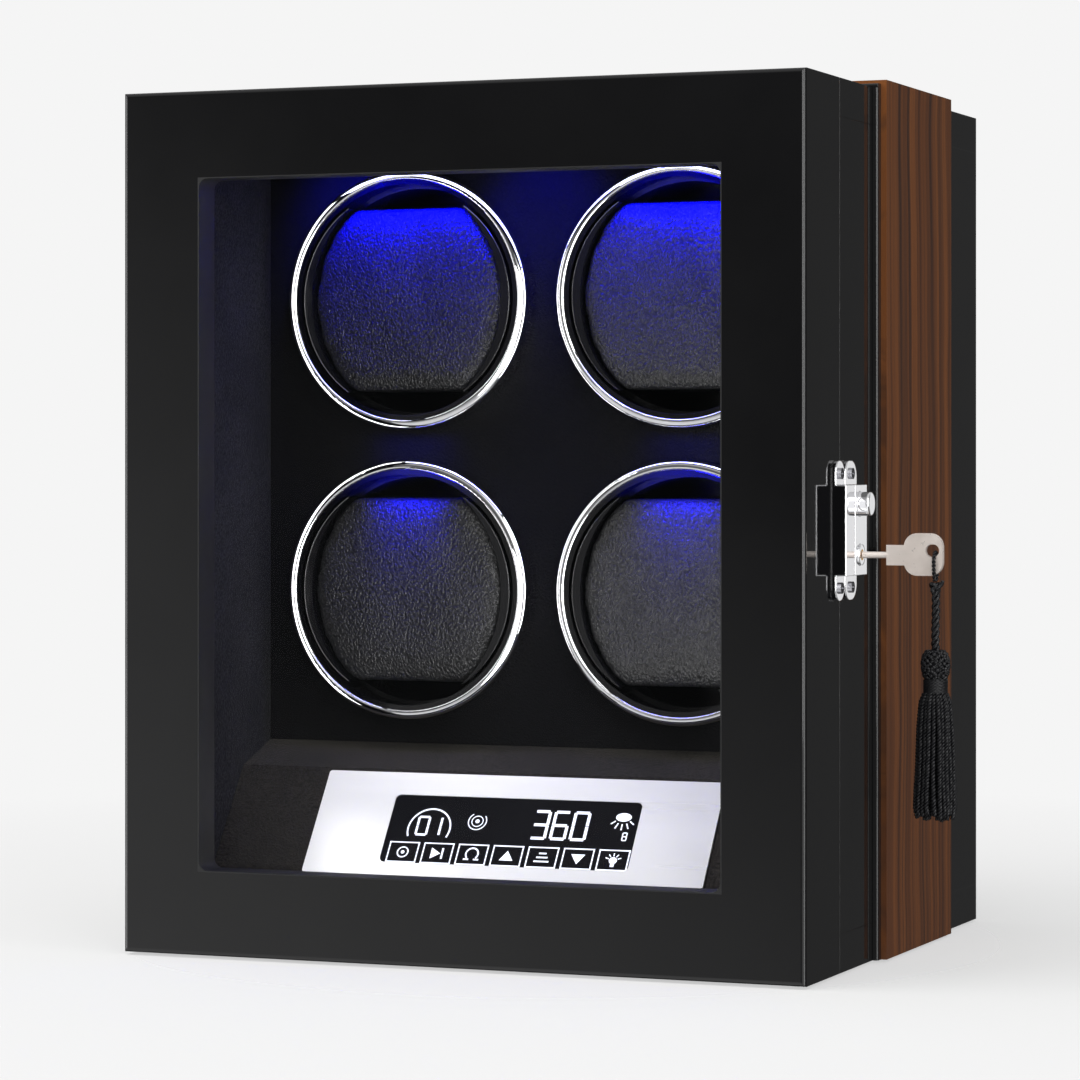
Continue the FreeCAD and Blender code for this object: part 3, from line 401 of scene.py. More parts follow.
def fitted(points):
    """The filled pad pressed against its two cheeks, and its face domed a little at the front."""
    angle = np.arctan2(points[:, 2], points[:, 0])
    room = pad_room(angle, ROOM_R, ROOM_HALF)
    squeeze = np.minimum(SPREAD, room / np.maximum(np.hypot(points[:, 0], points[:, 2]), LEAST))
    points[:, 0] *= squeeze
    points[:, 2] *= squeeze
    ahead = np.maximum(0.0, PAD_FRONT * MM - points[:, 1])
    points[:, 1] += ahead - DOME * (1 - np.exp(-ahead / DOME))
    return points


def evened(move, mesh):
    """The cloth's movement with its puckers along the seams spread out over their neighbours."""
    ends = np.zeros(len(mesh.edges) * 2, dtype=int)
    mesh.edges.foreach_get("vertices", ends)
    a, b = ends.reshape(-1, 2).T
    count = np.bincount(np.concatenate((a, b)), minlength=len(move))[:, None]
    for _ in range(EVEN_ROUNDS):
        total = np.zeros_like(move)
        np.add.at(total, a, move[b])
        np.add.at(total, b, move[a])
        move = 0.5 * (move + total / np.maximum(count, 1))
    return move


def blown(obj):
    """The points of an object blown up as cloth, each kept within PAD_CAP of where it was."""
    before = coordinates(obj.data)
    cloth = obj.modifiers.new("cloth", "CLOTH")
    cloth.settings.quality = 6
    cloth.settings.mass = 0.25
    cloth.settings.tension_stiffness = 12
    cloth.settings.compression_stiffness = 12
    cloth.settings.use_pressure = True
    cloth.settings.uniform_pressure_force = PRESSURE
    cloth.settings.effector_weights.gravity = 0.0
    for number in range(1, CLOTH_STEPS + 1):
        bpy.context.scene.frame_set(number)
    move = coordinates(settled(obj)) - before
    obj.modifiers.clear()
    bpy.context.scene.frame_set(1)
    far = np.linalg.norm(move, axis=1)
    move *= np.minimum(1.0, PAD_CAP / np.maximum(far, LEAST))[:, None]
    return before + evened(move, obj.data)


def filled_pad():
    """A stuffed pad: remeshed, blown up as cloth, held to its room and smoothed."""
    obj = placed("pad_work", pad_blank())
    remesh = obj.modifiers.new("remesh", "REMESH")
    remesh.mode = "VOXEL"
    remesh.voxel_size = VOXEL
    base = settled(obj)
    obj.modifiers.clear()
    obj.data = base
    points = blown(obj)
    base.vertices.foreach_set("co", fitted(points).ravel())
    base.update()
    smooth = obj.modifiers.new("smooth", "SMOOTH")
    smooth.factor = 0.5
    smooth.iterations = 1
    fine = obj.modifiers.new("fine", "SUBSURF")
    fine.levels = 2
    mesh = settled(obj)
    bpy.data.objects.remove(obj)
    return mesh


def make_pads():
    """The four leather pads, each in the middle of its CAD pad and rippled in its own way."""
    base = filled_pad()
    points = coordinates(base)
    pads = []
    for number in ROTORS:
        low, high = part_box(f"cushion_pad_{number}")
        centre = (low + high) / 2
        mesh = base.copy()
        moved = points.copy()
        wave = RNG.uniform(0, TURN)
        ripple = (np.sin(moved[:, 0] * RIPPLE_WAVES[0] + wave)
                  * np.sin(moved[:, 2] * RIPPLE_WAVES[1] + 2 * wave))
        moved[:, 1] += RIPPLE * ripple
        moved += np.array((centre.x, 0.0, centre.z))
        mesh.vertices.foreach_set("co", moved.ravel())
        mesh.polygons.foreach_set("use_smooth", [True] * len(mesh.polygons))
        mesh.materials.clear()
        pad = painted(f"watch_pad_{number}", mesh, "leather")
        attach(pad, f"cushion_{number}")
        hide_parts(f"cushion_pad_{number}")
        pads.append(pad)
    return pads


# ---------------------------------------------------------------- display marks

# Places on the display are in millimetres: across it, and up the console's slope.
SLOPE = math.radians(54.3)
SLOPE_FOOT = (40.5 - 103.5, 25.8 + FOOT)
MARK_LEVEL = 0.5
MARK_THICK = 0.06
DIAL = (-31.0, 19.4)
DIAL_DIGITS = (("0", -35.6), ("1", -30.8))
RINGS = (-13.3, 23.1)
TURNS_DIGITS = (("3", 8.1), ("6", 15.5), ("0", 22.9))
LAMP = (40.9, 26.8)
LAMP_RAYS = (40.9, 26.4)
LAMP_DIGITS = (("8", 42.0),)
KEY_PITCH = 13.2
KEY_FIRST = -38.6
KEY_HALF = (5.5, 3.95)
KEY_MIDDLE = 9.6
SEGMENTS = {"0": "abcdef", "1": "bc", "3": "abcdg", "6": "acdefg", "8": "abcdefg"}


def on_slope(x, up, out):
    """A point on the console's slope, from millimetres across, up it and out of it."""
    y = SLOPE_FOOT[0] + up * math.cos(SLOPE) - out * math.sin(SLOPE)
    z = SLOPE_FOOT[1] + up * math.sin(SLOPE) + out * math.cos(SLOPE)
    return (x * MM, y * MM, z * MM)


def plate(outline):
    """A thin raised shape from a convex outline on the slope."""
    points = [on_slope(x, u, MARK_LEVEL + level) for level in (0.0, MARK_THICK) for x, u in outline]
    return points, slab_faces(len(outline))


def stroke(path, width, closed=False):
    """Raised lines of one width along a path, each with blunt ends that overlap at its corners."""
    parts = []
    ends = path[1:] + path[:1] if closed else path[1:]
    for (x0, u0), (x1, u1) in zip(path, ends):
        long = math.hypot(x1 - x0, u1 - u0)
        ax, au = (x1 - x0) / long * width / 2, (u1 - u0) / long * width / 2
        parts.append(plate([(x0 - ax + au, u0 - au - ax), (x1 + ax + au, u1 + au - ax),
                            (x1 + ax - au, u1 + au + ax), (x0 - ax - au, u0 - au + ax)]))
    return parts


def arc(x, u, r, start, end, width, steps=28):
    """One raised ring segment."""
    parts = []
    inner, outer = r - width / 2, r + width / 2
    angles = [math.radians(start + (end - start) * i / steps) for i in range(steps + 1)]
    for a, b in zip(angles, angles[1:]):
        parts.append(plate([(x + inner * math.cos(a), u + inner * math.sin(a)),
                            (x + outer * math.cos(a), u + outer * math.sin(a)),
                            (x + outer * math.cos(b), u + outer * math.sin(b)),
                            (x + inner * math.cos(b), u + inner * math.sin(b))]))
    return parts


def disc(x, u, rx, ru, steps=20):
    angles = [TURN * i / steps for i in range(steps)]
    return [plate([(x + rx * math.cos(a), u + ru * math.sin(a)) for a in angles])]


def rays(x, u, angles, inner, outer, width):
    """Short strokes that fan out of a lamp, from one oval to another."""
    parts = []
    for angle in angles:
        c, s = math.cos(math.radians(angle)), math.sin(math.radians(angle))
        parts += stroke([(x + inner[0] * c, u + inner[1] * s), (x + outer[0] * c, u + outer[1] * s)], width)
    return parts


def digits(signs, u, wide, high, width):
    """Seven-segment digits from (sign, left edge) pairs, with their feet at u."""
    half = high / 2
    gap = width * 0.62
    ends = {"a": ((0, high), (wide, high)), "b": ((wide, high), (wide, half)), "c": ((wide, half), (wide, 0)),
            "d": ((0, 0), (wide, 0)), "e": ((0, half), (0, 0)), "f": ((0, high), (0, half)),
            "g": ((0, half), (wide, half))}
    parts = []
    for sign, x in signs:
        for segment in SEGMENTS[sign]:
            (x0, u0), (x1, u1) = ends[segment]
            long = math.hypot(x1 - x0, u1 - u0)
            ax, au = (x1 - x0) / long * gap, (u1 - u0) / long * gap
            parts += stroke([(x + x0 + ax, u + u0 + au), (x + x1 - ax, u + u1 - au)], width)
    return parts


def target_sign(x, u):
    return arc(x, u, 2.0, 0, 360, 0.5) + disc(x, u, 0.7, 0.7, 14)


def step_sign(x, u):
    bar = stroke([(x + 1.9, u - 1.8), (x + 1.9, u + 1.8)], 0.7)
    return [plate([(x - 2.4, u - 2.2), (x + 1.2, u), (x - 2.4, u + 2.2)])] + bar


def arch_sign(x, u):
    marks = arc(x, u + 0.3, 2.3, -45, 225, 0.6)
    for start, end in ((-2.6, -1.2), (1.2, 2.6)):
        marks += stroke([(x + start, u - 1.9), (x + end, u - 1.9)], 0.6)
    return marks


def up_sign(x, u):
    return [plate([(x - 2.6, u - 1.8), (x + 2.6, u - 1.8), (x, u + 2.1)])]


def bars_sign(x, u):
    marks = []
    for level, reach in ((1.6, 1.1), (0.0, 1.8), (-1.6, 2.5)):
        marks += stroke([(x - reach, u + level), (x + reach, u + level)], 0.6)
    return marks


def down_sign(x, u):
    return [plate([(x, u - 2.1), (x + 2.6, u + 1.8), (x - 2.6, u + 1.8)])]


def lamp_sign(x, u):
    neck = plate([(x - 0.7, u - 2.6), (x + 0.7, u - 2.6), (x + 0.7, u - 1.0), (x - 0.7, u - 1.0)])
    glow = rays(x, u, (20, 55, 90, 125, 160), (1.95, 1.75), (2.9, 2.6), 0.4)
    return disc(x, u - 0.1, 1.5, 1.35) + [neck] + glow


def key_signs():
    """The seven touch keys: a square outline and a plain sign in each."""
    marks = []
    w, h = KEY_HALF
    u = KEY_MIDDLE
    signs = (target_sign, step_sign, arch_sign, up_sign, bars_sign, down_sign, lamp_sign)
    for i, sign in enumerate(signs):
        x = KEY_FIRST + i * KEY_PITCH
        marks += stroke([(x - w, u - h), (x + w, u - h), (x + w, u + h), (x - w, u + h)], 0.48, closed=True)
        marks += sign(x, u)
    return marks


def make_display():
    """The lit signs just under the display's glass, as one piece."""
    marks = arc(*DIAL, 8.0, -24, 204, 0.62, 40)
    marks += digits(DIAL_DIGITS, 16.9, 4.0, 7.2, 0.85)
    marks += arc(*RINGS, 3.4, 125, 400, 0.4) + arc(*RINGS, 2.1, 0, 360, 0.35) + disc(*RINGS, 0.8, 0.8)
    marks += digits(TURNS_DIGITS, 17.2, 5.2, 10.8, 1.1)
    marks += disc(*LAMP, 2.9, 1.7)
    marks += rays(*LAMP_RAYS, (-150, -120, -90, -60, -30), (3.3, 2.6), (4.7, 4.5), 0.5)
    marks += digits(LAMP_DIGITS, 17.6, 1.5, 3.0, 0.42)
    marks += key_signs()
    signs = piece("display_marks", marks, "display_glass", "cabinet", smooth=False)
    signs.data.materials[0] = FINISH["lit_marks"]


# ---------------------------------------------------------------- materials

FINISH = {}
WINDOW_HALF_X = 0.0961
WINDOW_HALF_Z = 0.1204
WINDOW_MIDDLE_Z = 0.1505
WINDOW_BACK_Y = -0.08
LOCK_AXIS = (0.0, -0.06, 0.1411)
CORE_R = 1.9 * MM
STEEL_CORE = ("d8d8da", "f0f0f2")
BRASS_CORE = ("b98d3f", "d8ad5a")
# Nodes whose finish is another than the one of their record slot.
OWN_FINISH = {"lock_strike": "lock_plate", "lock_case": "lock_plate", "lock_button": "lock_knob",
              "console": "velvet_console"}


def tint(code):
    """Linear colour from six hex digits."""
    values = [int(code[i:i + 2], 16) / 255 for i in (0, 2, 4)]
    return [v / 12.92 if v <= 0.04045 else ((v + 0.055) / 1.055) ** 2.4 for v in values] + [1.0]


def add_node(tree, kind, values=None, **settings):
    """A shader node with its settings made, and each value linked or typed in."""
    node = tree.nodes.new("ShaderNode" + kind)
    for name, value in settings.items():
        setattr(node, name, value)
    for name, value in (values or {}).items():
        if isinstance(value, bpy.types.NodeSocket):
            tree.links.new(value, node.inputs[name])
        else:
            node.inputs[name].default_value = value
    return node


class Paint:
    """A node material as it is put together."""

    def __init__(self, name, fixed):
        self.material = bpy.data.materials.new(name)
        self.material.use_nodes = True
        self.tree = self.material.node_tree
        self.tree.nodes.clear()
        self.shader = self.node("BsdfPrincipled", fixed)
        self.node("OutputMaterial", {"Surface": self.shader.outputs[0]})

    def node(self, kind, values=None, **settings):
        return add_node(self.tree, kind, values, **settings)

    def at(self, kind="Object"):
        return self.node("TexCoord").outputs[kind]

    def place(self, scale=(1, 1, 1)):
        return self.node("Mapping", {"Vector": self.at(), "Scale": scale}).outputs[0]

    def noise(self, where, scale, detail=3.0, rough=0.55):
        return self.node("TexNoise", {"Vector": where, "Scale": scale, "Detail": detail,
                                      "Roughness": rough}).outputs["Fac"]

    def cells(self, where, scale):
        cells = self.node("TexVoronoi", {"Vector": where, "Scale": scale}, feature="SMOOTH_F1")
        return cells.outputs["Distance"]

    def spread(self, value, low, high, start=0.3, end=0.7):
        return self.node("MapRange", {"Value": value, "From Min": start, "From Max": end,
                                      "To Min": low, "To Max": high}).outputs[0]

    def blend(self, factor, dark, light):
        return self.node("Mix", {"Factor": factor, 6: dark, 7: light}, data_type="RGBA").outputs[2]

    def math(self, operation, a, b=0.0):
        return self.node("Math", {0: a, 1: b}, operation=operation).outputs[0]

    def vector(self, operation, a, b=(0.0, 0.0, 0.0)):
        """A vector, or the number that LENGTH and DOT_PRODUCT give."""
        outputs = self.node("VectorMath", {0: a, 1: b}, operation=operation).outputs
        return outputs["Value" if operation in ("LENGTH", "DOT_PRODUCT") else "Vector"]

    def soft_edges(self, radius, samples):
        """The normal with the edges rounded off to a radius."""
        return self.node("Bevel", {"Radius": radius}, samples=samples).outputs[0]

    def emboss(self, height, depth, under=None):
        """A bump of a depth in millimetres."""
        values = {"Height": height, "Distance": depth * MM, "Strength": 1.0}
        if under is not None:
            values["Normal"] = under
        return self.node("Bump", values).outputs[0]

    def use(self, **sockets):
        for name, socket in sockets.items():
            self.tree.links.new(socket, self.shader.inputs[name.replace("_", " ")])

    def keep(self, name):
        FINISH[name] = self.material


def plain_finish(name, dark, light, rough, tone, grain, depth, stretch=(1, 1, 1), **fixed):
    """Colour and roughness that drift, and a fine grain pressed in by a depth in millimetres."""
    paint = Paint(name, {k.replace("_", " "): v for k, v in fixed.items()})
    where = paint.place(stretch)
    drift = paint.noise(where, tone)
    colour = paint.blend(paint.spread(drift, 0.0, 1.0), tint(dark), tint(light))
    worn = paint.spread(paint.noise(where, tone * 3.7), rough[0], rough[1])
    fine = paint.noise(where, grain, 2.0)
    paint.use(Base_Color=colour, Roughness=worn, Normal=paint.emboss(fine, depth))
    paint.keep(name)


def lacquer_finish():
    """Piano black: a deep polished coat with softened edges, left matt inside the door's window."""
    paint = Paint("black_lacquer", {"IOR": 1.5})
    where = paint.place()
    soft = paint.soft_edges(0.45 * MM, 4)
    colour = paint.blend(paint.spread(paint.noise(where, 22.0), 0.0, 1.0), tint("060607"), tint("0a0a0b"))
    dust = paint.spread(paint.noise(where, 160.0, 5.0), 0.035, 0.07)
    shaped = paint.emboss(paint.noise(where, 45.0, 1.0), 0.01, soft)
    axes = paint.node("SeparateXYZ", {"Vector": paint.at()}).outputs
    height = paint.math("ABSOLUTE", paint.math("SUBTRACT", axes["Z"], WINDOW_MIDDLE_Z))
    inside = paint.math("LESS_THAN", paint.math("ABSOLUTE", axes["X"]), WINDOW_HALF_X)
    inside = paint.math("MULTIPLY", inside, paint.math("LESS_THAN", height, WINDOW_HALF_Z))
    matt = paint.math("MULTIPLY", inside, paint.math("LESS_THAN", axes["Y"], WINDOW_BACK_Y))
    paint.use(Base_Color=colour, Roughness=paint.math("ADD", dust, paint.math("MULTIPLY", matt, 0.62)),
              Normal=shaped)
    paint.keep("black_lacquer")


def walnut_finish():
    """Vertical stripes of walnut under a satin varnish, with open pores."""
    paint = Paint("walnut", {"IOR": 1.42, "Coat Weight": 0.1, "Coat Roughness": 0.2})
    bend = paint.noise(paint.place((3, 3, 3)), 3.0, 2.0)
    push = paint.math("MULTIPLY", paint.math("SUBTRACT", bend, 0.5), 0.012)
    shift = paint.node("CombineXYZ", {"Y": push}).outputs[0]
    bent = paint.vector("ADD", paint.at(), shift)

    def stretched(scale):
        return paint.node("Mapping", {"Vector": bent, "Scale": scale}).outputs[0]

    broad = paint.noise(stretched((1.2, 130, 1.2)), 1.0, 2.0, 0.4)
    stripe = paint.noise(stretched((2.0, 390, 2.0)), 1.0, 4.0, 0.6)
    fibre = paint.noise(stretched((16, 1900, 16)), 1.0, 3.0, 0.65)
    pores = paint.noise(stretched((90, 3600, 90)), 1.0, 2.0, 0.5)
    ground = paint.blend(paint.spread(broad, 0.0, 1.0, 0.32, 0.68), tint("4c280f"), tint("72421c"))
    ground = paint.blend(paint.spread(fibre, 0.0, 0.55, 0.3, 0.75), ground, tint("562e13"))
    dark = paint.spread(stripe, 0.0, 0.9, 0.47, 0.68)
    colour = paint.blend(dark, ground, tint("1e110d"))
    colour = paint.blend(paint.spread(pores, 0.0, 0.5, 0.62, 0.8), colour, tint("1d100c"))
    paint.use(Base_Color=colour, Roughness=paint.spread(fibre, 0.3, 0.42),
              Normal=paint.emboss(paint.spread(pores, 1.0, 0.0, 0.55, 0.8), 0.02))
    paint.keep("walnut")


def lock_finish(name, core_colours, painted_dark_reflection=False):
    """Polished plate with softened edges, another metal round the keyway and, if asked for, a painted dark
    reflection: flat faces turned to the front are coloured dark grey, their rounded edges left bright.
    """
    paint = Paint(name, {"Metallic": 1.0})
    where = paint.place()
    away = paint.vector("SUBTRACT", paint.at(), LOCK_AXIS)
    far = paint.vector("LENGTH", paint.vector("MULTIPLY", away, (0.0, 1.0, 1.0)))
    drift = paint.noise(where, 90.0)
    plated = paint.blend(drift, tint("eeeef0"), tint("f8f8fa"))
    core = paint.blend(drift, *[tint(code) for code in core_colours])
    soft = paint.soft_edges(0.8 * MM, 8)
    # Painted dark reflection: flat faces that look to the front get a dark grey colour, while their rounded
    # edges keep the bright plate colour.
    if painted_dark_reflection:
        smooth = paint.vector("DOT_PRODUCT", soft, paint.soft_edges(0.0, 2))
        toward = paint.node("SeparateXYZ", {"Vector": paint.at("Normal")}).outputs["Y"]
        dark_reflection_face = paint.math("MULTIPLY", paint.math("LESS_THAN", toward, -0.6),
                          paint.math("GREATER_THAN", smooth, 0.985))
        plated = paint.blend(dark_reflection_face, plated, tint("262628"))
    paint.use(Base_Color=paint.blend(paint.math("LESS_THAN", far, CORE_R), plated, core),
              Roughness=paint.spread(paint.noise(where, 300.0), 0.05, 0.11),
              Normal=paint.emboss(paint.noise(where, 60.0, 1.0), 0.006, soft))
    paint.keep(name)


def velvet_finish(name, dark, light):
    """Short pile that lightens at grazing angles, stroked this way and that."""
    paint = Paint(name, {"Roughness": 0.95, "Specular IOR Level": 0.15, "Sheen Weight": 0.12,
                         "Sheen Roughness": 0.45, "Sheen Tint": tint("9c9a98")})
    where = paint.place()
    stroked = paint.noise(where, 28.0, 4.0, 0.6)
    pile = paint.noise(where, 1150.0, 2.0)
    tone = paint.math("MULTIPLY", paint.spread(stroked, 0.5, 1.05), paint.spread(pile, 0.1, 1.15))
    paint.use(Base_Color=paint.blend(tone, tint(dark), tint(light)), Normal=paint.emboss(pile, 0.4))
    paint.keep(name)


def leather_finish():
    """Pebbled black leather, with painted shade darkening the creases between the pebbles."""
    paint = Paint("leather", {"IOR": 1.45, "Specular IOR Level": 0.5})
    where = paint.place((1.15, 1.15, 0.8))
    warp = paint.node("TexNoise", {"Vector": where, "Scale": 800.0}).outputs["Color"]
    bent = paint.vector("ADD", where, paint.vector("MULTIPLY", warp, (0.4 * MM,) * 3))
    pebble = paint.cells(bent, 1220.0)
    creases = paint.spread(pebble, 1.0, 0.0, 0.1, 0.75)
    tone = paint.spread(paint.noise(where, 60.0), 0.0, 1.0)
    colour = paint.blend(tone, tint("2b2b2c"), tint("363637"))
    # Painted shade: the creases between the pebbles are coloured near black.
    colour = paint.blend(paint.spread(pebble, 0.0, 0.9, 0.35, 0.75), colour, tint("09090a"))
    fine = paint.noise(where, 3200.0, 2.0)
    relief = paint.math("ADD", creases, paint.math("MULTIPLY", fine, 0.12))
    paint.use(Base_Color=colour, Roughness=paint.spread(pebble, 0.22, 0.45, 0.2, 0.8),
              Normal=paint.emboss(relief, 0.34))
    paint.keep("leather")


def led_finish():
    """A pale board whose lamps, on its underside, are lit."""
    paint = Paint("led_board", {"Emission Color": (0.05, 0.08, 1.0, 1.0)})
    height = paint.node("SeparateXYZ", {"Vector": paint.at()}).outputs["Z"]
    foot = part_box("led_strip")[0].z
    lamp = paint.spread(height, 1.0, 0.0, foot, foot + 1.5 * MM)
    drift = paint.noise(paint.place(), 400.0)
    paint.use(Base_Color=paint.blend(drift, tint("c9ccd2"), tint("e8e8ee")),
              Roughness=paint.spread(drift, 0.4, 0.6), Emission_Strength=paint.math("MULTIPLY", lamp, 6.0))
    paint.keep("led_board")


def glass_finish():
    """Clear float glass with a trace of grey."""
    paint = Paint("clear_glass", {"Alpha": 0.07, "IOR": 1.5})
    drift = paint.noise(paint.place(), 12.0)
    paint.use(Base_Color=paint.blend(drift, tint("050607"), tint("0a0c0d")),
              Roughness=paint.spread(drift, 0.01, 0.03))
    paint.keep("clear_glass")


def marks_finish():
    """White backlit signs under the glass."""
    paint = Paint("lit_marks", {"Emission Color": (0.86, 0.9, 1.0, 1.0)})
    drift = paint.noise(paint.place(), 300.0)
    paint.use(Base_Color=paint.blend(drift, tint("dfe4f4"), tint("ffffff")),
              Roughness=paint.spread(drift, 0.3, 0.5), Emission_Strength=paint.spread(drift, 0.72, 0.95))
    paint.keep("lit_marks")


def thread_finish():
    """Lustrous dark yarn, with its own fine twist and a painted highlight: the crests of the twist are
    coloured lighter and bluish.
    """
    paint = Paint("tassel_thread", {"Specular IOR Level": 0.35, "Sheen Weight": 0.03, "Sheen Roughness": 0.3,
                                    "Sheen Tint": tint("8a8c9c")})
    where = paint.place()
    slanted = paint.node("Mapping", {"Vector": where, "Rotation": (0.0, 0.6, 0.3)}).outputs[0]
    twist = paint.node("TexWave", {"Vector": slanted, "Scale": 420.0, "Distortion": 1.5, "Detail": 2.0},
                       bands_direction="Z").outputs["Fac"]
    drift = paint.noise(where, 260.0)
    colour = paint.blend(drift, tint("050506"), tint("09090b"))
    # Painted highlight: the twist's crests get a lighter, bluish colour.
    paint.use(Base_Color=paint.blend(paint.spread(twist, 0.0, 0.5), colour, tint("121217")),
              Roughness=paint.spread(drift, 0.34, 0.55), Normal=paint.emboss(twist, 0.07))
    paint.keep("tassel_thread")


def make_finishes():
    lacquer_finish()
    walnut_finish()
    velvet_finish("velvet", "0d0d0e", "313134")
    velvet_finish("velvet_console", "12110f", "393631")
    velvet_finish("velvet_board", "070708", "161618")
    leather_finish()
    led_finish()
    glass_finish()
    marks_finish()
    thread_finish()
    # The lock's plate gets a painted dark reflection on its front faces.
    lock_finish("lock_plate", STEEL_CORE, painted_dark_reflection=True)
    lock_finish("lock_knob", STEEL_CORE)
    lock_finish("brass_barrel", BRASS_CORE)
    plain_finish("fibreboard", "1a1917", "262421", (0.55, 0.75), 70, 1300, 0.05)
    plain_finish("felt", "101011", "232325", (0.9, 1.0), 90, 1100, 0.3, Sheen_Weight=0.3)
    plain_finish("display_glass", "131315", "18181a", (0.05, 0.1), 30, 60, 0.002, Specular_IOR_Level=0.04)
    plain_finish("black_plastic", "08080a", "0e0e10", (0.1, 0.2), 60, 500, 0.004,
                 Coat_Weight=0.4, Coat_Roughness=0.06)
    plain_finish("pulley_plastic", "d9d5c9", "e9e6dc", (0.35, 0.5), 120, 900, 0.02)
    plain_finish("silver", "dcdcda", "e6e6e4", (0.24, 0.36), 18, 2600, 0.006, (0.02, 1, 1), Metallic=0.2)
    plain_finish("chrome_plate", "e9e9ec", "f6f6f8", (0.03, 0.07), 30, 240, 0.002, Metallic=1.0)
    plain_finish("steel", "9c9ca0", "bcbcc0", (0.2, 0.36), 140, 2200, 0.008, Metallic=1.0)
    plain_finish("key_nickel", "d9cec5", "e9dfd7", (0.26, 0.4), 120, 2400, 0.008, Metallic=0.4)
    plain_finish("belt_rubber", "0a0a0a", "171717", (0.6, 0.8), 120, 1500, 0.05)
    plain_finish("circuit_board", "07301c", "0d4a2b", (0.35, 0.5), 220, 900, 0.03)


def paint_nodes():
    """Gives each carried CAD node the finish of its record slot."""
    slots = {name: obj.material_slots[0].material.name.split(".")[0] for name, obj in NODES.items()}
    old = {obj.material_slots[0].material for obj in NODES.values()}
    for material in old:
        material.name = "packed_" + material.name
    make_finishes()
    slots.update(OWN_FINISH)
    for name, obj in NODES.items():
        obj.material_slots[0].material = FINISH[slots[name]]
    for material in old:
        bpy.data.materials.remove(material)


# ---------------------------------------------------------------- stage and light

FLOOR_REACH = 2.4
BACKGROUND = tint("f5f5f5")[0]
WHITE = (1.0, 1.0, 1.0)
BLUE = (0.0, 0.0, 1.0)
LAVENDER = (0.72, 0.74, 1.0)
MIDDLE = (0.0, 0.0, 0.15)
# Just in front of the side linings, and the middle of the room that the rings look into.
WALL_X = 0.1104
INSIDE_Y = -0.045
INSIDE_Z = 0.165
LAMP_SPREAD = math.radians(110)
LAMP_PLACES_X = (-0.075, 0.0, 0.075)


def make_floor():
    """Pale paper under the object that fades out into the background."""
    mesh = bpy.data.meshes.new("floor")
    r = FLOOR_REACH
    mesh.from_pydata([(-r, -r, 0), (r, -r, 0), (r, r, 0), (-r, r, 0)], [], [(0, 1, 2, 3)])
    paint = Paint("floor_paper", {"Roughness": 1.0, "Specular IOR Level": 0.0})
    away = paint.vector("LENGTH", paint.at())
    drift = paint.noise(paint.place(), 3.0)
    paint.use(Base_Color=paint.blend(drift, (0.5, 0.5, 0.5, 1), (0.53, 0.53, 0.53, 1)),
              Alpha=paint.spread(away, 0.4, 0.0, 0.15, 0.65))
    mesh.materials.append(paint.material)
    floor = placed("floor", mesh)
    floor.visible_glossy = False


def make_world():
    """Plain pale paper for the camera; a darker room with a bright foot for the reflections."""
    world = bpy.data.worlds.new("studio")
    bpy.context.scene.world = world
    world.use_nodes = True
    tree = world.node_tree
    tree.nodes.clear()

    def node(kind, values=None, **settings):
        return add_node(tree, kind, values, **settings)

    def ranged(value, start, end, low, high, easing="SMOOTHSTEP"):
        values = {"Value": value, "From Min": start, "From Max": end, "To Min": low, "To Max": high}
        return node("MapRange", values, interpolation_type=easing).outputs[0]

    def combined(operation, a, b):
        return node("Math", {0: a, 1: b}, operation=operation).outputs[0]

    direction = node("TexCoord").outputs["Generated"]
    axes = node("SeparateXYZ", {"Vector": direction}).outputs
    path = node("LightPath").outputs
    lean = node("VectorMath", {0: direction, 1: (-2.3, 0.0, -2.6)}, operation="DOT_PRODUCT").outputs["Value"]
    foot = ranged(lean, 0.74, 1.55, 0.12, 0.95, "LINEAR")
    card = combined("MULTIPLY", ranged(axes["X"], 0.12, 0.3, 0.0, 1.0),
                    ranged(axes["Y"], -0.3, -0.5, 0.0, 0.9))
    facing = combined("ADD", foot, combined("MULTIPLY", card, path["Is Glossy Ray"]))
    front = ranged(axes["Y"], 0.25, -0.25, 0.0, 1.0)
    room = node("Mix", {"Factor": front, "A": 0.085, "B": facing}, data_type="FLOAT").outputs[0]
    bright = combined("ADD", room, ranged(axes["Z"], 0.2, 0.8, 0.0, 0.55))
    studio = node("Background", {"Color": (1, 1, 1, 1), "Strength": bright}).outputs[0]
    paper = node("Background", {"Color": (1, 1, 1, 1), "Strength": BACKGROUND}).outputs[0]
    mixed = node("MixShader", {0: path["Is Camera Ray"], 1: studio, 2: paper}).outputs[0]
    tree.links.new(mixed, node("OutputWorld").inputs["Surface"])


def make_light(name, kind, place, target, power, colour, only, **settings):
    """A light that points at a target, kept to the pieces of one group if it is given."""
    data = bpy.data.lights.new(name, kind)
    data.energy = power
    data.color = colour
    for setting, value in settings.items():
        setattr(data, setting, value)
    light = placed(name, data)
    light.location = place
    light.rotation_euler = (Vector(target) - Vector(place)).to_track_quat("-Z", "Y").to_euler()
    light.light_linking.receiver_collection = only
    return light


def area_light(name, place, target, size, power, colour=WHITE, only=None):
    light = make_light(name, "AREA", place, target, power, colour, only,
                       shape="RECTANGLE", size=size[0], size_y=size[1])
    light.visible_camera = False
    return light


def spot_light(name, place, target, cone, power, only=None):
    """A small blue lamp with a soft-edged cone, in degrees."""
    make_light(name, "SPOT", place, target, power, BLUE, only,
               spot_size=math.radians(cone), spot_blend=1.0, shadow_soft_size=4 * MM)


def group_of(name, *pieces):
    """Some objects as a group that a light can be kept to."""
    group = bpy.data.collections.new(name)
    for obj in pieces:
        group.objects.link(obj)
    return group


def of_each_rotor(kind):
    return [NODES[f"{kind}_{number}"] for number in ROTORS]


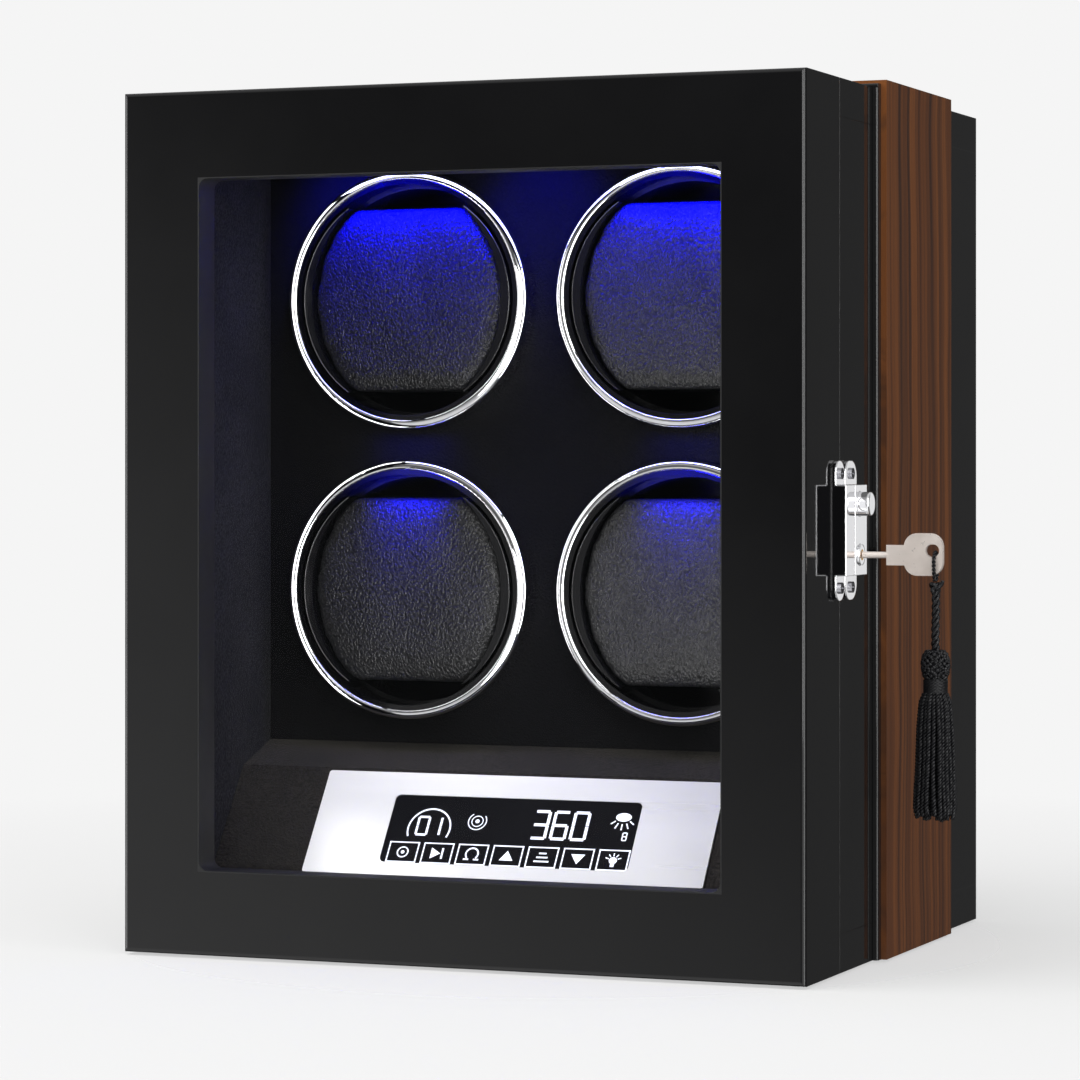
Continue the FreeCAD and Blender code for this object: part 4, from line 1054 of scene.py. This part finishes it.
def studio_lights():
    """Soft boxes round the object."""
    area_light("soft_left", (-1.45, -0.95, 0.45), MIDDLE, (0.9, 1.5), 14)
    area_light("soft_front_right", (1.0, -1.35, 0.55), MIDDLE, (0.45, 1.2), 9)
    area_light("soft_right", (1.5, -0.5, 0.45), MIDDLE, (0.8, 1.5), 13)
    overhead = area_light("soft_top", (-0.35, -0.55, 1.45), MIDDLE, (1.5, 1.5), 30)
    overhead.visible_glossy = False


def cabinet_lights(pads, leather):
    """Weak white fill inside the cabinet, kept to its lining, its pads and its shelf."""
    walls = group_of("walls", NODES["velvet_lining"], NODES["rotor_panel"], *pads)
    shelf = group_of("shelf", NODES["console"], NODES["control_plate"])
    facing = group_of("facing", NODES["control_plate"])
    area_light("inner_right", (WALL_X, -0.055, INSIDE_Z), (0.0, -0.05, INSIDE_Z), (0.055, 0.21), 0.088,
               only=walls)
    area_light("pad_front", (0.04, -0.3, 0.02), (0.0, 0.0, 0.14), (0.25, 0.12), 0.35, only=leather)
    area_light("inner_left", (-0.108, -0.06, 0.2), (-0.03, -0.045, 0.05), (0.03, 0.1), 0.2, only=shelf)
    area_light("plate_left", (-0.09, -0.105, 0.1), (-0.05, -0.05, 0.04), (0.05, 0.03), 0.05, only=facing)


def metal_lights():
    """Cards of light for the lock and the chrome rings to reflect."""
    lock = [NODES[name] for name in ("lock_strike", "lock_case", "lock_button", "lock_barrel")]
    metal = group_of("lock_metal", *lock)
    polished = group_of("polished", *of_each_rotor("chrome_ring"), *of_each_rotor("cushion_core"))
    inside = (0.0, INSIDE_Y, INSIDE_Z)
    area_light("lock_card", (0.46, 0.70, 0.16), (0.13, -0.06, 0.15), (0.42, 0.8), 0.75, only=metal)
    area_light("ring_right", (WALL_X, INSIDE_Y, INSIDE_Z), inside, (0.045, 0.24), 0.25, only=polished)
    area_light("ring_left", (-WALL_X, INSIDE_Y, INSIDE_Z), inside, (0.022, 0.24), 0.07, only=polished)
    area_light("ring_top", (0.0, -0.05, 0.2855), (0.0, -0.05, 0.0), (0.2, 0.035), 0.12,
               LAVENDER, polished)
    for number in ROTORS:
        low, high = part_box(f"chrome_ring_{number}")
        x, z = (low.x + high.x) / 2, (low.z + high.z) / 2
        ring = group_of(f"ring_{number}", NODES[f"chrome_ring_{number}"])
        area_light(f"ring_card_{number}", (x + 0.05, low.y - 0.055, z - 0.02), (x + 0.04, low.y, z - 0.01),
                   (0.05, 0.075), 0.22, only=ring)


def lamp_lights(leather):
    """The blue light of the lamps under the top panel, and how far down the rotors it reaches."""
    cups = group_of("cups", *of_each_rotor("rotor_cup"))
    board = group_of("board", NODES["rotor_panel"])
    panel_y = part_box("rotor_panel")[0].y
    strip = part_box("led_strip")[0]
    glow = area_light("lamp_glow", (0.0, strip.y - 2 * MM, strip.z - 1 * MM), (0.0, strip.y + 12 * MM, 0.0),
                      (0.17, 0.01), 0.06, BLUE)
    glow.data.spread = LAMP_SPREAD
    for number, x in enumerate(LAMP_PLACES_X):
        spot_light(f"panel_glow_{number}", (x, -0.05, 0.283), (x, panel_y, 0.262), 85, 0.52)
    for number in ROTORS:
        low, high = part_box(f"cushion_pad_{number}")
        x = (low.x + high.x) / 2
        top = high.z
        spot_light(f"cup_glow_{number}", (x, -0.04, top - 6 * MM), (x, -0.005, top + 6 * MM), 120, 1.9, cups)
        if number in UPPER_ROTORS:
            area_light(f"upper_glow_{number}", (x, -0.034, 0.276), (x, low.y, top - 8 * MM), (0.066, 0.006),
                       0.43, BLUE, leather)
        else:
            spot_light(f"lower_glow_{number}", (x, -0.044, top + 18 * MM), (x, low.y, top - 3 * MM),
                       64, 0.67, leather)
            spot_light(f"board_glow_{number}", (x, -0.036, top + 30 * MM), (x, panel_y, top + 18 * MM),
                       90, 0.09, board)


def make_lights(pads):
    leather = group_of("leather_pads", *pads)
    studio_lights()
    cabinet_lights(pads, leather)
    metal_lights()
    lamp_lights(leather)


# ---------------------------------------------------------------- the scene

make_camera()
paint_nodes()
make_cord()
watch_pads = make_pads()
make_display()
make_floor()
make_world()
make_lights(watch_pads)
bpy.context.scene.view_settings.view_transform = "Standard"
